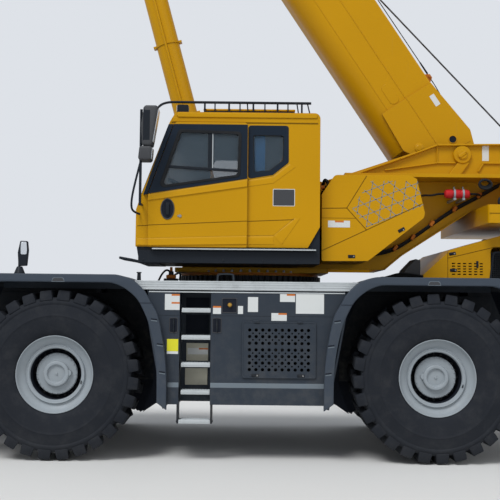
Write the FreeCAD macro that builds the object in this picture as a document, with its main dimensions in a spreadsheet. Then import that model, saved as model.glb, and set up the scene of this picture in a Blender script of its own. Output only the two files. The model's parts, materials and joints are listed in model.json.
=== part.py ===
import FreeCAD, Part
import math
import os
from types import SimpleNamespace

import Sketcher

# Two-axle rough-terrain mobile crane, in millimetres.
# The crane faces -X, its left side is -Y and +Z is up.
# The origin lies on the ground under the slewing axis.

V = FreeCAD.Vector
doc = FreeCAD.newDocument("MobileCrane")
NODES = []

SIZES = (
    # name, value in millimetres or degrees
    ("front_axle_x", -2015), ("rear_axle_x", 1960), ("axle_z", 887), ("half_track", 1225),
    ("tyre_radius", 887), ("tyre_width", 660), ("tread_width", 600), ("lug_root_radius", 802),
    ("bulge_radius", 606), ("bead_inset", 22), ("lug_count", 28), ("lug_width", 124), ("bead_radius", 318),
    ("flange_radius", 404), ("rim_width", 560), ("rim_wall", 14), ("disc_setback", 118),
    ("hub_radius", 218), ("hub_length", 105), ("cap_radius", 150), ("cap_length", 30),
    ("kingpin_y", 950), ("kingpin_radius", 42), ("spindle_radius", 120), ("knuckle_half_height", 165),
    ("knuckle_half_width", 65),
    ("axle_tube_radius", 125), ("bowl_radius", 262), ("axle_pad_x", 120), ("axle_pad_y", 300),
    ("yoke_half_height", 232), ("yoke_half_width", 80), ("fit", 0.5), ("seat_gap", 0.3),
    ("frame_half_width", 450), ("frame_top", 1750), ("frame_low", 760), ("frame_arch", 1180),
    ("arch_half_width", 340), ("arch_slope", 150), ("frame_plate", 20),
    ("box_length", 500), ("box_height", 320), ("box_wall", 20), ("box_half_width", 1250),
    ("front_box_x", -3700), ("rear_box_x", 3150), ("beam_gap", 6), ("beam_length", 2480),
    ("beam_wall", 14), ("jack_radius", 75), ("jack_tube_radius", 95), ("jack_tube_low", 640),
    ("jack_tube_high", 1330), ("float_radius", 210), ("float_z", 470), ("float_thick", 40),
    ("frame_rear", 4250), ("deck_z", 1870), ("deck_plate", 8), ("deck_half_width", 1500),
    ("deck_mid_half_width", 850), ("deck_front", -3700), ("edge_band", 93), ("edge_thick", 12),
    ("turret_half_width", 900),
    ("fender_top", 1930), ("fender_sheet", 20), ("fender_outer_y", 1590), ("fender_skirt_low", 1800),
    ("fender_skirt_half", 560), ("fender_band", 70), ("fender_band_depth", 40), ("fender_foot_z", 550),
    ("fender_foot_x", 1150), ("fender_head_x", 895), ("fender_corner", 130), ("fender_round", 330),
    ("cabinet_low", 593), ("cabinet_top", 1770), ("cabinet_y", 1500), ("cabinet_gap", 25),
    ("recess_front", -770), ("recess_rear", -355), ("recess_depth", 330), ("tread_thick", 40),
    ("tread_depth", 150), ("tread_pitch", 283), ("tread_first_z", 715), ("step_z", 415),
    ("step_strap", 12),
    ("door_front", -72), ("door_rear", 695), ("door_low", 872), ("door_top", 1455),
    ("door_thick", 14), ("door_lap", 25), ("bay_depth", 500), ("hole_columns", 10),
    ("hole_rows", 7), ("hole_radius", 24), ("door_margin", 60), ("hinge_radius", 7), ("hinge_length", 60),
    ("hinge_rise", 6), ("hinge_front_x", 73), ("hinge_rear_x", 520),
    ("ring_radius", 822), ("ring_tooth", 26), ("ring_teeth", 72), ("ring_bore", 640),
    ("ring_low", 1870), ("ring_high", 1958), ("flange_high", 1996),
    ("base_plate", 50), ("side_plate_y", 450), ("side_plate", 40), ("pivot_x", 2451),
    ("pivot_z", 3390), ("pivot_pin", 60), ("pivot_boss", 100),
    ("boom_angle", 56.4), ("boom_half_width", 330), ("boom_top", 220), ("boom_bottom", 630),
    ("boom_corner", 240), ("boom_wall", 12), ("boom_start", 420), ("boom_end", 11300),
    ("boom_step", 40), ("section_length", 10500), ("head_step", 230), ("collar_length", 90),
    ("collar_lip", 28), ("pad_gap", 0.6), ("foot_cheek", 30),
    ("head_length", 900), ("head_cheek", 25), ("head_half_width", 230), ("head_drop", 830),
    ("head_axis", 420), ("jib_pin", 32), ("sheave_radius", 200), ("sheave_thick", 44), ("rope_radius", 10),
    ("fall_length", 1250), ("block_width", 150),
    ("foot_pin_x", -410), ("foot_pin_z", 2520), ("rod_pin_along", 7050), ("rod_pin_below", 820),
    ("barrel_radius", 140), ("barrel_length", 3900), ("rod_radius", 95), ("rod_length", 3860),
    ("eye_radius", 130), ("eye_width", 270), ("rod_pin", 58), ("cheek_gap", 12), ("cheek", 40),
    ("cab_front", -1204), ("cab_rear", 732), ("cab_left", 1462), ("cab_right", 620),
    ("cab_floor", 2230), ("cab_roof", 3661), ("cab_wall", 40), ("cab_sill_low", 2060),
    ("cab_waist", 2710), ("cab_brow_x", -862), ("cab_brow_z", 3553),
    ("glass", 8), ("cab_door_front", -1068), ("cab_door_rear", -34), ("cab_door_low", 2222),
    ("cab_door_top", 3545), ("cab_door_thick", 34), ("cab_door_travel", 720),
    ("shroud_outer", 1300), ("shroud_inner", 560), ("shroud_wall", 15),
    ("weight_low", 2535), ("weight_front", 2560), ("weight_rear", 4150), ("weight_half_width", 1250),
    ("weight_top", 3380), ("weight_corner", 320), ("winch_radius", 210), ("winch_flange", 300),
    ("winch_x", 3230), ("winch_z", 3330),
    ("engine_front", 2420), ("engine_length", 1250), ("engine_height", 395), ("engine_half_width", 330),
    ("hood_front", 1935), ("hood_rear", 4300), ("hood_top", 2430), ("hood_half_width", 850),
    ("hood_wall", 15), ("hood_nose_z", 1985), ("hood_brow_x", 2244), ("hood_brow_z", 2265),
    ("hood_crest_x", 2806), ("slot_length", 36), ("slot_height", 13), ("slot_columns", 6),
    ("slot_rows", 5), ("slot_pitch_x", 62), ("slot_pitch_z", 30),
    ("bumper_thick", 110), ("bumper_half_width", 1240), ("bumper_low", 800), ("bumper_high", 1270),
    ("lamp_radius", 85),
)


class Size:
    """A length that carries its value and its formula over the cells of the sheet."""

    def __init__(self, value, text):
        self.value = float(value)
        self.text = text

    def __add__(self, other):
        return Size(self.value + number(other), f"({self.text} + {formula(other)})")

    def __radd__(self, other):
        return Size(number(other) + self.value, f"({formula(other)} + {self.text})")

    def __sub__(self, other):
        return Size(self.value - number(other), f"({self.text} - {formula(other)})")

    def __rsub__(self, other):
        return Size(number(other) - self.value, f"({formula(other)} - {self.text})")

    def __mul__(self, other):
        return Size(self.value * number(other), f"({self.text} * {formula(other)})")

    def __rmul__(self, other):
        return Size(number(other) * self.value, f"({formula(other)} * {self.text})")

    def __truediv__(self, other):
        return Size(self.value / number(other), f"({self.text} / {formula(other)})")

    def __neg__(self):
        return Size(-self.value, f"(0 - {self.text})")


def number(value):
    return value.value if isinstance(value, Size) else float(value)


def formula(value):
    return value.text if isinstance(value, Size) else repr(float(value))


def fill_sheet():
    """Write each driving size into its own named cell."""
    sheet = doc.addObject("Spreadsheet::Sheet", "Sizes")
    for row, (name, value) in enumerate(SIZES, start=1):
        sheet.set(f"A{row}", name)
        sheet.set(f"B{row}", str(value))
        sheet.setAlias(f"B{row}", name)
    doc.recompute()
    return SimpleNamespace(**{name: Size(value, f"Sizes.{name}") for name, value in SIZES})


d = fill_sheet()


def bind(piece, prop, value):
    piece.setExpression(prop, formula(value))


def place(piece, x=0, y=0, z=0):
    for axis, value in (("x", x), ("y", y), ("z", z)):
        bind(piece, f"Placement.Base.{axis}", value)
    return piece


def turn(piece, axis, angle):
    """Turn a piece about its own placement point."""
    piece.Placement = FreeCAD.Placement(piece.Placement.Base, FreeCAD.Rotation(V(*axis), 1))
    bind(piece, "Placement.Rotation.Angle", angle)
    return piece


def span(low, high):
    """Order two ends of a range by value."""
    return (low, high) if number(low) <= number(high) else (high, low)


def mirrored(side, near, far):
    """A range along Y on the left (-1) or the right (+1) side."""
    return span(side * near, side * far)


def block(name, x, y, z):
    piece = doc.addObject("Part::Box", name)
    for prop, (low, high) in (("Length", x), ("Width", y), ("Height", z)):
        bind(piece, prop, high - low)
    return place(piece, x[0], y[0], z[0])


def cylinder(name, radius, axis, low, high, at=(0, 0)):
    """A cylinder along X, Y or Z, from low to high, at the two other coordinates."""
    piece = doc.addObject("Part::Cylinder", name)
    bind(piece, "Radius", radius)
    bind(piece, "Height", high - low)
    if axis == "X":
        place(turned_to(piece, (0, 1, 0), 90), low, *at)
    elif axis == "Y":
        place(turned_to(piece, (1, 0, 0), -90), at[0], low, at[1])
    else:
        place(piece, *at, low)
    return piece


def turned_to(piece, axis, angle):
    piece.Placement = FreeCAD.Placement(V(0, 0, 0), FreeCAD.Rotation(V(*axis), angle))
    return piece


def join(name, pieces):
    piece = doc.addObject("Part::MultiFuse", name)
    piece.Shapes = pieces
    return piece


def cut(name, base, tools):
    piece = doc.addObject("Part::Cut", name)
    piece.Base = base
    piece.Tool = tools[0] if len(tools) == 1 else group(f"{name}_tools", tools)
    return piece


def group(name, pieces):
    piece = doc.addObject("Part::Compound", name)
    piece.Links = pieces
    return piece


def keep(node, piece):
    """Give a finished sub-part its node name."""
    piece.Label = node
    NODES.append(piece)
    return piece


def corner_points(corners):
    """Numbers of each corner with the start and end of its rounding."""
    points = [(number(c[0]), number(c[1]), number(c[2]) if len(c) > 2 else 0.0) for c in corners]
    table = []
    for i, (u, v, radius) in enumerate(points):
        here = V(u, v, 0)
        back = V(*points[i - 1][:2], 0) - here
        ahead = V(*points[(i + 1) % len(points)][:2], 0) - here
        if radius == 0:
            table.append((here, here, None, here))
            continue
        half = back.getAngle(ahead) / 2
        reach = radius / math.tan(half)
        start = here + back.normalize() * reach
        end = here + ahead.normalize() * reach
        middle = here + (back + ahead).normalize() * (radius / math.sin(half) - radius)
        table.append((start, end, middle, here))
    return table


def end_at(sketch, edge, point):
    """Which end of a sketch edge lies at a point."""
    near = [(sketch.getPoint(edge, end) - point).Length for end in (1, 2)]
    return 1 if near[0] < near[1] else 2


def draw(body, name, plane, corners, offset=0):
    """A closed sketch on a plane of its body. Each corner is (u, v) or (u, v, rounding)."""
    sketch = body.newObject("Sketcher::SketchObject", name)
    support = [f for f in body.Origin.OriginFeatures if f.Role == f"{plane}_Plane"][0]
    sketch.AttachmentSupport = [(support, "")]
    sketch.MapMode = "FlatFace"
    bind(sketch, "AttachmentOffset.Base.z", offset)
    table = corner_points(corners)
    count = len(table)
    lines = [
        sketch.addGeometry(Part.LineSegment(table[i][1], table[(i + 1) % count][0]))
        for i in range(count)
    ]
    add = sketch.addConstraint
    for i, (start, end, middle, here) in enumerate(table):
        before, after = lines[i - 1], lines[i]
        if middle is None:
            add(Sketcher.Constraint("Coincident", before, 2, after, 1))
            anchor = (after, 1)
        else:
            arc = sketch.addGeometry(Part.Arc(start, middle, end))
            first = end_at(sketch, arc, start)
            add(Sketcher.Constraint("Tangent", before, 2, arc, first))
            add(Sketcher.Constraint("Tangent", arc, 3 - first, after, 1))
            size = add(Sketcher.Constraint("Radius", arc, number(corners[i][2])))
            bind(sketch, f"Constraints[{size}]", corners[i][2])
            tip = sketch.addGeometry(Part.Point(here), True)
            add(Sketcher.Constraint("PointOnObject", tip, 1, before))
            add(Sketcher.Constraint("PointOnObject", tip, 1, after))
            anchor = (tip, 1)
        for kind, value in (("DistanceX", corners[i][0]), ("DistanceY", corners[i][1])):
            size = add(Sketcher.Constraint(kind, -1, 1, *anchor, number(value)))
            bind(sketch, f"Constraints[{size}]", value)
    return sketch


def plate(name, plane, corners, low, high):
    """A padded sketch between two levels along the normal of its plane."""
    body = doc.addObject("PartDesign::Body", name)
    offset = -high if plane == "XZ" else low
    sketch = draw(body, f"{name}_outline", plane, corners, offset)
    pad = body.newObject("PartDesign::Pad", f"{name}_pad")
    pad.Profile = sketch
    bind(pad, "Length", high - low)
    return body


def revolved(name, corners):
    """A sketch of (radius, along) corners turned about the Y axis."""
    body = doc.addObject("PartDesign::Body", name)
    sketch = draw(body, f"{name}_outline", "XY", corners)
    ring = body.newObject("PartDesign::Revolution", f"{name}_turn")
    ring.Profile = sketch
    ring.ReferenceAxis = (sketch, ["V_Axis"])
    ring.Angle = 360
    return body


def rectangle(low_u, high_u, low_v, high_v, rounding=0):
    corners = ((low_u, low_v), (high_u, low_v), (high_u, high_v), (low_u, high_v))
    return [(*corner, rounding) for corner in corners]


# Running gear

CORNERS = (
    # name, axle place, side
    ("front_left", d.front_axle_x, -1),
    ("front_right", d.front_axle_x, 1),
    ("rear_left", d.rear_axle_x, -1),
    ("rear_right", d.rear_axle_x, 1),
)


def lug_angles(shift):
    """Angles of each lug: root start, top start, top end, root end."""
    pitch = 2 * math.pi / d.lug_count.value
    half_top = math.asin(d.lug_width.value / 2 / d.tyre_radius.value)
    half_root = half_top * 1.25
    table = []
    for tooth in range(int(d.lug_count.value)):
        middle = (tooth + shift) * pitch
        table.append((middle - half_root, middle - half_top, middle + half_top, middle + half_root))
    return table


def ring(radii_angles, along):
    """Points of a many-sided ring about the axle."""
    return [V(r * math.cos(a), along, r * math.sin(a)) for r, a in radii_angles]


def polygon_face(points):
    return Part.Face(Part.makePolygon(points + points[:1]))


def strip(near, far, twisted=False):
    """Flat faces between two rings of like corners, in threes where the strip twists."""
    faces = []
    for a, b, c, e in zip(near, near[1:] + near[:1], far[1:] + far[:1], far):
        faces += [polygon_face([a, b, c]), polygon_face([a, c, e])] if twisted else [polygon_face([a, b, c, e])]
    return faces


def tyre_side(way):
    """Rings of one side: lug outline and root at the tread's edge, widest wall, bead."""
    root, tip = d.lug_root_radius.value, d.tyre_radius.value
    lugs = lug_angles(way / 4)
    tread, wall = way * d.tread_width.value / 2, way * d.tyre_width.value / 2
    bead = way * (d.rim_width.value / 2 - d.bead_inset.value)
    roots = [lug[k] for lug in lugs for k in (0, 3)]
    outline = ring([point for lug in lugs for point in zip((root, tip, tip, root), lug)], tread)
    places = ((root, tread), (d.bulge_radius.value, wall), (d.bead_radius.value + 2, bead))
    return [outline] + [ring([(radius, angle) for angle in roots], along) for radius, along in places]


def tyre_shape():
    """Tyre whose lugs cross the tread at a slant of half a pitch, bored for the rim."""
    left, right = tyre_side(-1), tyre_side(1)
    faces = strip(left[0], right[0], True)
    for outline, root, wall, bead in (left, right):
        faces += [polygon_face(outline[k:k + 4]) for k in range(0, len(outline), 4)]
        faces += strip(root, wall) + strip(wall, bead) + [polygon_face(bead)]
    shell = Part.makeShell(faces)
    shell.sewShape()
    whole = Part.makeSolid(shell)
    if whole.Volume < 0:
        whole.reverse()
    sides = int(d.lug_count.value)
    clear = (d.bead_radius.value + d.seat_gap.value) / math.cos(math.pi / sides)
    low = -d.tyre_width.value
    corners = ring([(clear, 2 * math.pi * k / sides) for k in range(sides)], low)
    return whole.cut(polygon_face(corners).extrude(V(0, -2 * low, 0)))


def make_tyres():
    shape = tyre_shape()
    for name, x, side in CORNERS:
        tyre = doc.addObject("Part::Feature", f"tyre_{name}_body")
        tyre.Shape = shape
        keep(f"tyre_{name}", place(tyre, x, side * d.half_track, d.axle_z))


def make_rim(name, x, side):
    """Rim, disc and planetary hub in one piece, outboard face towards the side."""
    half = d.rim_width / 2
    wall = d.rim_wall
    face = side * (half - d.disc_setback)
    rim = revolved(f"{name}_barrel", [
        (d.bead_radius - wall, -half),
        (d.flange_radius, -half),
        (d.bead_radius, -half + 21),
        (d.bead_radius, half - 21),
        (d.flange_radius, half),
        (d.bead_radius - wall, half),
    ])
    disc_y = span(face - side * 30, face)
    disc = cylinder(f"{name}_disc", d.bead_radius - wall + 2, "Y", *disc_y)
    hub_y = span(face - side * 10, face + side * d.hub_length)
    hub = cylinder(f"{name}_hub", d.hub_radius, "Y", *hub_y)
    cap_y = span(face + side * (d.hub_length - 5), face + side * (d.hub_length + d.cap_length))
    cap = cylinder(f"{name}_cap", d.cap_radius, "Y", *cap_y)
    drum_y = span(face - side * 30, face - side * 90)
    drum = cylinder(f"{name}_drum", d.spindle_radius + 80, "Y", *drum_y)
    bore_y = span(face - side * 25, face - side * 91)
    bore = cylinder(f"{name}_bore", d.spindle_radius + d.fit, "Y", *bore_y)
    solid = join(f"{name}_solid", [rim, disc, hub, cap, drum])
    whole = cut(f"{name}_whole", solid, [bore])
    keep(name, place(whole, x, side * d.half_track, d.axle_z))


def make_knuckle(name, x, side):
    """Steering knuckle between the yoke arms, with the spindle that carries the hub."""
    disc_face = d.half_track + d.rim_width / 2 - d.disc_setback
    half = d.knuckle_half_width
    barrel = block(f"{name}_barrel", (-half, half), (-half, half),
                   (-d.knuckle_half_height, d.knuckle_half_height))
    pins = cylinder(f"{name}_pin", d.kingpin_radius, "Z", -d.yoke_half_height, d.yoke_half_height)
    reach = side * (disc_face - d.kingpin_y)
    spindle = cylinder(f"{name}_spindle", d.spindle_radius, "Y", *span(side * 20, reach - side * 31))
    arm = block(f"{name}_arm", (30, 240), (-40, 40), (-150, -110))
    whole = join(f"{name}_whole", [barrel, pins, spindle, arm])
    keep(name, place(whole, x, side * d.kingpin_y, d.axle_z))


def make_axle(name, x):
    """Drive axle housing with its bowl, pads for the frame and a yoke at each end."""
    inner = d.kingpin_y - 150
    tube = cylinder(f"{name}_tube", d.axle_tube_radius, "Y", -inner, inner)
    bowl = cylinder(f"{name}_bowl", d.bowl_radius, "X", -90, 90)
    cover = doc.addObject("Part::Cone", f"{name}_cover")
    bind(cover, "Radius1", d.bowl_radius)
    bind(cover, "Radius2", d.bowl_radius * 0.55)
    bind(cover, "Height", 110)
    place(turned_to(cover, (0, 1, 0), 90), 89)
    neck = cylinder(f"{name}_neck", d.bowl_radius * 0.45, "X", -d.bowl_radius, -80)
    pieces = [tube, bowl, cover, neck]
    for side in (-1, 1):
        pad_y = span(side * d.axle_pad_y, side * (d.axle_pad_y + 130))
        pieces.append(block(f"{name}_pad{side}", (-d.axle_pad_x, d.axle_pad_x), pad_y,
                            (0, d.frame_arch - d.axle_z)))
        wall = mirrored(side, inner - 40, d.kingpin_y - d.kingpin_radius * 2 - 12)
        high = d.yoke_half_height
        pieces.append(block(f"{name}_web{side}", (-d.yoke_half_width, d.yoke_half_width), wall, (-high, high)))
        arm = mirrored(side, d.kingpin_y - d.kingpin_radius * 2 - 40, d.kingpin_y + 66)
        for level, (low, top) in enumerate(((-high, -d.knuckle_half_height - d.fit),
                                            (d.knuckle_half_height + d.fit, high))):
            pieces.append(block(f"{name}_arm{side}{level}", (-d.yoke_half_width, d.yoke_half_width),
                                arm, (low, top)))
    housing = join(f"{name}_housing", pieces)
    bores = [
        cylinder(f"{name}_bore{side}", d.kingpin_radius + d.fit, "Z", -d.yoke_half_height - 5,
                 d.yoke_half_height + 5, (0, side * d.kingpin_y))
        for side in (-1, 1)
    ]
    keep(name, place(cut(f"{name}_whole", housing, bores), x, 0, d.axle_z))


# Carrier

def make_frame():
    """Box frame with an arch over each axle and a turret block under the slewing ring."""
    front = d.front_box_x
    rear = d.rear_box_x
    back = front + d.box_length
    box_top = d.frame_low + d.box_height
    outline = [(front, box_top), (back, box_top), (back, d.frame_low)]
    for axle in (d.front_axle_x, d.rear_axle_x):
        half = d.arch_half_width
        outline += [
            (axle - half - d.arch_slope, d.frame_low), (axle - half, d.frame_arch),
            (axle + half, d.frame_arch), (axle + half + d.arch_slope, d.frame_low),
        ]
    outline += [(rear, d.frame_low), (rear, box_top), (d.frame_rear, box_top),
                (d.frame_rear, d.frame_top), (front, d.frame_top)]
    half = d.frame_half_width
    web = plate("frame_web", "XZ", outline, -half, half)
    core = block("frame_core", (front - 5, d.frame_rear + 5), (d.frame_plate - half, half - d.frame_plate),
                 (d.frame_arch + d.frame_plate, d.frame_top - d.frame_plate))
    tube = cut("frame_tube", web, [core])
    wide = d.turret_half_width
    turret = block("frame_turret", (-wide, wide), (-wide, wide), (d.cabinet_top, d.deck_z - d.deck_plate))
    neck = block("frame_turret_neck", (-wide, wide), (-half, half), (d.frame_top - 1, d.cabinet_top + 1))
    keep("carrier_frame", join("carrier_frame_whole", [tube, turret, neck]))


def outrigger_box(name, x):
    """Two beam tunnels side by side across the frame."""
    low = d.frame_low
    high = low + d.box_height
    shell = block(f"{name}_shell", (x, x + d.box_length), (-d.box_half_width, d.box_half_width), (low, high))
    tools = []
    for lane in (0, 1):
        tunnel = tunnel_range(x, lane)
        tools.append(block(f"{name}_tunnel{lane}", tunnel, (-d.box_half_width - 5, d.box_half_width + 5),
                           (low + d.box_wall, high - d.box_wall)))
    return cut(f"{name}_whole", shell, tools)


def make_outrigger_boxes():
    boxes = [outrigger_box("box_front", d.front_box_x), outrigger_box("box_rear", d.rear_box_x)]
    keep("outrigger_boxes", group("outrigger_boxes_pair", boxes))


def tunnel_range(x, lane):
    width = (d.box_length - 3 * d.box_wall) / 2
    low = x + d.box_wall + lane * (width + d.box_wall)
    return low, low + width


BEAMS = (
    # name, box place, lane, side
    ("front_left", d.front_box_x, 0, -1),
    ("front_right", d.front_box_x, 1, 1),
    ("rear_left", d.rear_box_x, 0, -1),
    ("rear_right", d.rear_box_x, 1, 1),
)


def jack_axis(x, lane):
    low, high = tunnel_range(x, lane)
    return (low + high) / 2


def make_beam(name, x, lane, side):
    """Hollow outrigger beam with the jack housing at its outer end."""
    low_x, high_x = tunnel_range(x, lane)
    gap = d.beam_gap
    low_z = d.frame_low + d.box_wall + d.seat_gap
    high_z = d.frame_low + d.box_height - d.box_wall - gap
    outer = d.box_half_width + 20
    inner = outer - d.beam_length
    body = block(f"{name}_body", (low_x + gap, high_x - gap), mirrored(side, inner, outer), (low_z, high_z))
    wall = d.beam_wall
    hollow = block(f"{name}_hollow", (low_x + gap + wall, high_x - gap - wall),
                   mirrored(side, inner - 5, outer - wall), (low_z + wall, high_z - wall))
    axis = (jack_axis(x, lane), side * (outer + d.jack_tube_radius - 10))
    housing = cylinder(f"{name}_housing", d.jack_tube_radius, "Z", d.jack_tube_low, d.jack_tube_high, axis)
    bore = cylinder(f"{name}_bore", d.jack_radius + d.fit, "Z", d.jack_tube_low - 5,
                    d.jack_tube_high - 30, axis)
    whole = cut(f"{name}_whole", join(f"{name}_solid", [body, housing]), [hollow, bore])
    keep(name, whole)


def make_jack(name, x, lane, side):
    outer = d.box_half_width + 20
    axis = (jack_axis(x, lane), side * (outer + d.jack_tube_radius - 10))
    rod = cylinder(f"{name}_rod", d.jack_radius, "Z", d.float_z, d.jack_tube_high - 60, axis)
    pad = cylinder(f"{name}_pad", d.float_radius, "Z", d.float_z, d.float_z + d.float_thick, axis)
    socket = doc.addObject("Part::Prism", f"{name}_socket")
    socket.Polygon = 8
    bind(socket, "Circumradius", d.float_radius * 0.6)
    bind(socket, "Height", 70)
    place(socket, axis[0], axis[1], d.float_z + d.float_thick - 1)
    keep(name, join(f"{name}_whole", [rod, pad, socket]))


def leg_lean():
    """How far a fender leg leans for each millimetre of height."""
    return (d.fender_foot_x - d.fender_head_x) / (d.fender_top - d.fender_foot_z)


def between_legs(height, gap):
    """Range along X between the facing legs of the front and rear fenders at a height."""
    reach = d.fender_foot_x - leg_lean() * (height - d.fender_foot_z) + gap
    return d.front_axle_x + reach, d.rear_axle_x - reach


def make_deck():
    """Deck sheet: a strip along the frame with a wing on each side between the fenders."""
    mid = d.deck_mid_half_width
    wide = d.deck_half_width
    front, rear = between_legs(d.deck_z - d.deck_plate, d.seat_gap)
    corners = [
        (d.deck_front, -mid, 60), (front, -mid), (front, -wide), (rear, -wide), (rear, -mid),
        (d.hood_rear - 20, -mid), (d.hood_rear - 20, mid), (rear, mid), (rear, wide),
        (front, wide), (front, mid), (d.deck_front, mid, 60),
    ]
    sheet = plate("deck_sheet", "XY", corners, d.deck_z - d.deck_plate, d.deck_z)
    ribs = []
    rib_low = d.frame_top
    for place_x in (d.deck_front + 150, d.front_axle_x + 300, d.hood_front + 500, d.hood_rear - 150):
        ribs.append(block(f"deck_rib{len(ribs)}", (place_x, place_x + 60), (-mid + 20, mid - 20),
                          (rib_low, d.deck_z - d.deck_plate + 1)))
    apron = block("deck_apron", (d.deck_front - 25, d.deck_front), (-mid, mid),
                  (d.bumper_high + 10, d.deck_z))
    keep("deck", join("deck_whole", [sheet, apron] + ribs))


def make_deck_edge():
    pieces = []
    for side in (-1, 1):
        y = mirrored(side, d.deck_half_width, d.deck_half_width + d.edge_thick)
        pieces.append(block(f"deck_edge{side}", between_legs(d.deck_z - d.edge_band, d.seat_gap), y,
                            (d.deck_z - d.edge_band, d.deck_z + 2)))
    keep("deck_edge", group("deck_edge_pair", pieces))


def fender_corners(x, thick, front_round, rear_round):
    """Side outline of an arch of the given sheet thickness about an axle."""
    foot, head = d.fender_foot_x, d.fender_head_x
    low, top = d.fender_foot_z, d.fender_top
    inner_head = head - thick + leg_lean() * thick
    return [
        (x - foot, low), (x - foot + thick, low), (x - inner_head, top - thick, front_round - thick / 2),
        (x + inner_head, top - thick, rear_round - thick / 2), (x + foot - thick, low), (x + foot, low),
        (x + head, top, rear_round), (x - head, top, front_round),
    ]


def make_fenders():
    """Arches with an edge band outside and a skirt that bears on the deck's edge inside."""
    arches = []
    inner = d.deck_mid_half_width + d.seat_gap
    for name, x, side in CORNERS:
        rounds = (d.fender_corner, d.fender_round)
        if x is d.front_axle_x:
            rounds = rounds[::-1]
        sheet = plate(f"fender_{name}_sheet", "XZ", fender_corners(x, d.fender_sheet, *rounds),
                      *mirrored(side, inner, d.fender_outer_y))
        band = plate(f"fender_{name}_band", "XZ", fender_corners(x, d.fender_band, *rounds),
                     *mirrored(side, d.fender_outer_y - d.fender_band_depth, d.fender_outer_y))
        skirt = block(f"fender_{name}_skirt", (x - d.fender_skirt_half, x + d.fender_skirt_half),
                      mirrored(side, inner, inner + d.fender_sheet),
                      (d.fender_skirt_low, d.fender_top - d.fender_sheet + 1))
        arches.append(join(f"fender_{name}_arch", [sheet, band, skirt]))
    keep("fenders", group("fenders_all", arches))


def cabinet_corners():
    """Side outline between the two arches, parallel to their legs."""
    low, top = d.cabinet_low, d.cabinet_top
    front_low, rear_low = between_legs(low, d.cabinet_gap)
    front_top, rear_top = between_legs(top, d.cabinet_gap)
    return [(front_low, low), (rear_low, low), (rear_top, top), (front_top, top)]


def make_cabinet(node, side, bay):
    """Side cabinet with the ladder recess, and on the left the bay behind the door."""
    inner = d.frame_half_width
    box = plate(f"{node}_box", "XZ", cabinet_corners(), *mirrored(side, inner, d.cabinet_y))
    tools = [block(f"{node}_recess", (d.recess_front, d.recess_rear),
                   mirrored(side, d.cabinet_y - d.recess_depth, d.cabinet_y + 5),
                   (d.cabinet_low - 5, d.cabinet_top + 5))]
    if bay:
        lap = d.door_lap
        tools.append(block(f"{node}_bay", (d.door_front + lap, d.door_rear - lap),
                           mirrored(side, d.cabinet_y - d.bay_depth, d.cabinet_y + 5),
                           (d.door_low + lap, d.door_top - lap)))
    keep(node, cut(f"{node}_whole", box, tools))


def make_treads():
    """Four treads in each recess and a step hung below on two straps."""
    pieces = []
    for side in (-1, 1):
        y = mirrored(side, d.cabinet_y - d.tread_depth, d.cabinet_y)
        for level in range(4):
            low = d.tread_first_z + level * d.tread_pitch - d.tread_thick / 2
            pieces.append(block(f"tread{side}_{level}", (d.recess_front, d.recess_rear), y,
                                (low, low + d.tread_thick)))
        strap = d.step_strap
        step = [block(f"step{side}", (d.recess_front - strap, d.recess_rear + strap),
                      mirrored(side, d.cabinet_y - d.tread_depth, d.cabinet_y),
                      (d.step_z, d.step_z + d.tread_thick))]
        for end, x in enumerate((d.recess_front - strap, d.recess_rear)):
            step.append(block(f"strap{side}_{end}", (x, x + strap),
                              mirrored(side, d.cabinet_y - 80, d.cabinet_y),
                              (d.step_z, d.cabinet_low)))
        pieces.append(join(f"hung_step{side}", step))
    keep("ladder_treads", group("ladder_treads_all", pieces))


def make_side_door():
    """Door leaf perforated with large holes in rows and small ones between them."""
    face = d.cabinet_y + d.seat_gap
    low_y, high_y = mirrored(-1, face, face + d.door_thick)
    leaf = plate("side_door_leaf", "XZ", rectangle(d.door_front, d.door_rear, d.door_low, d.door_top, 18),
                 low_y, high_y)
    columns, rows = int(d.hole_columns.value), int(d.hole_rows.value)
    margin = d.door_margin
    pitch_x = (d.door_rear - d.door_front - 2 * margin) / (columns - 1)
    pitch_z = (d.door_top - d.door_low - 2 * margin) / (rows - 1)
    holes = []
    for column in range(columns):
        for row in range(rows):
            centre = (d.door_front + margin + column * pitch_x, d.door_low + margin + row * pitch_z)
            holes.append(hole_prism(f"side_door_hole{column}_{row}", d.hole_radius, low_y - 5,
                                    high_y + 5, centre))
    barrels = [
        cylinder(f"side_door_hinge{i}", d.hinge_radius, "X", x - d.hinge_length / 2, x + d.hinge_length / 2,
                 (-(face + d.hinge_radius), d.door_top + d.hinge_rise))
        for i, x in enumerate((d.hinge_front_x, d.hinge_rear_x))
    ]
    keep("side_door", join("side_door_whole", [cut("side_door_perforated", leaf, holes)] + barrels))


def hole_prism(name, radius, low, high, at):
    """An eight-sided hole along Y."""
    piece = doc.addObject("Part::Prism", name)
    piece.Polygon = 8
    bind(piece, "Circumradius", radius)
    bind(piece, "Height", high - low)
    return place(turned_to(piece, (1, 0, 0), -90), at[0], low, at[1])


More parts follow.
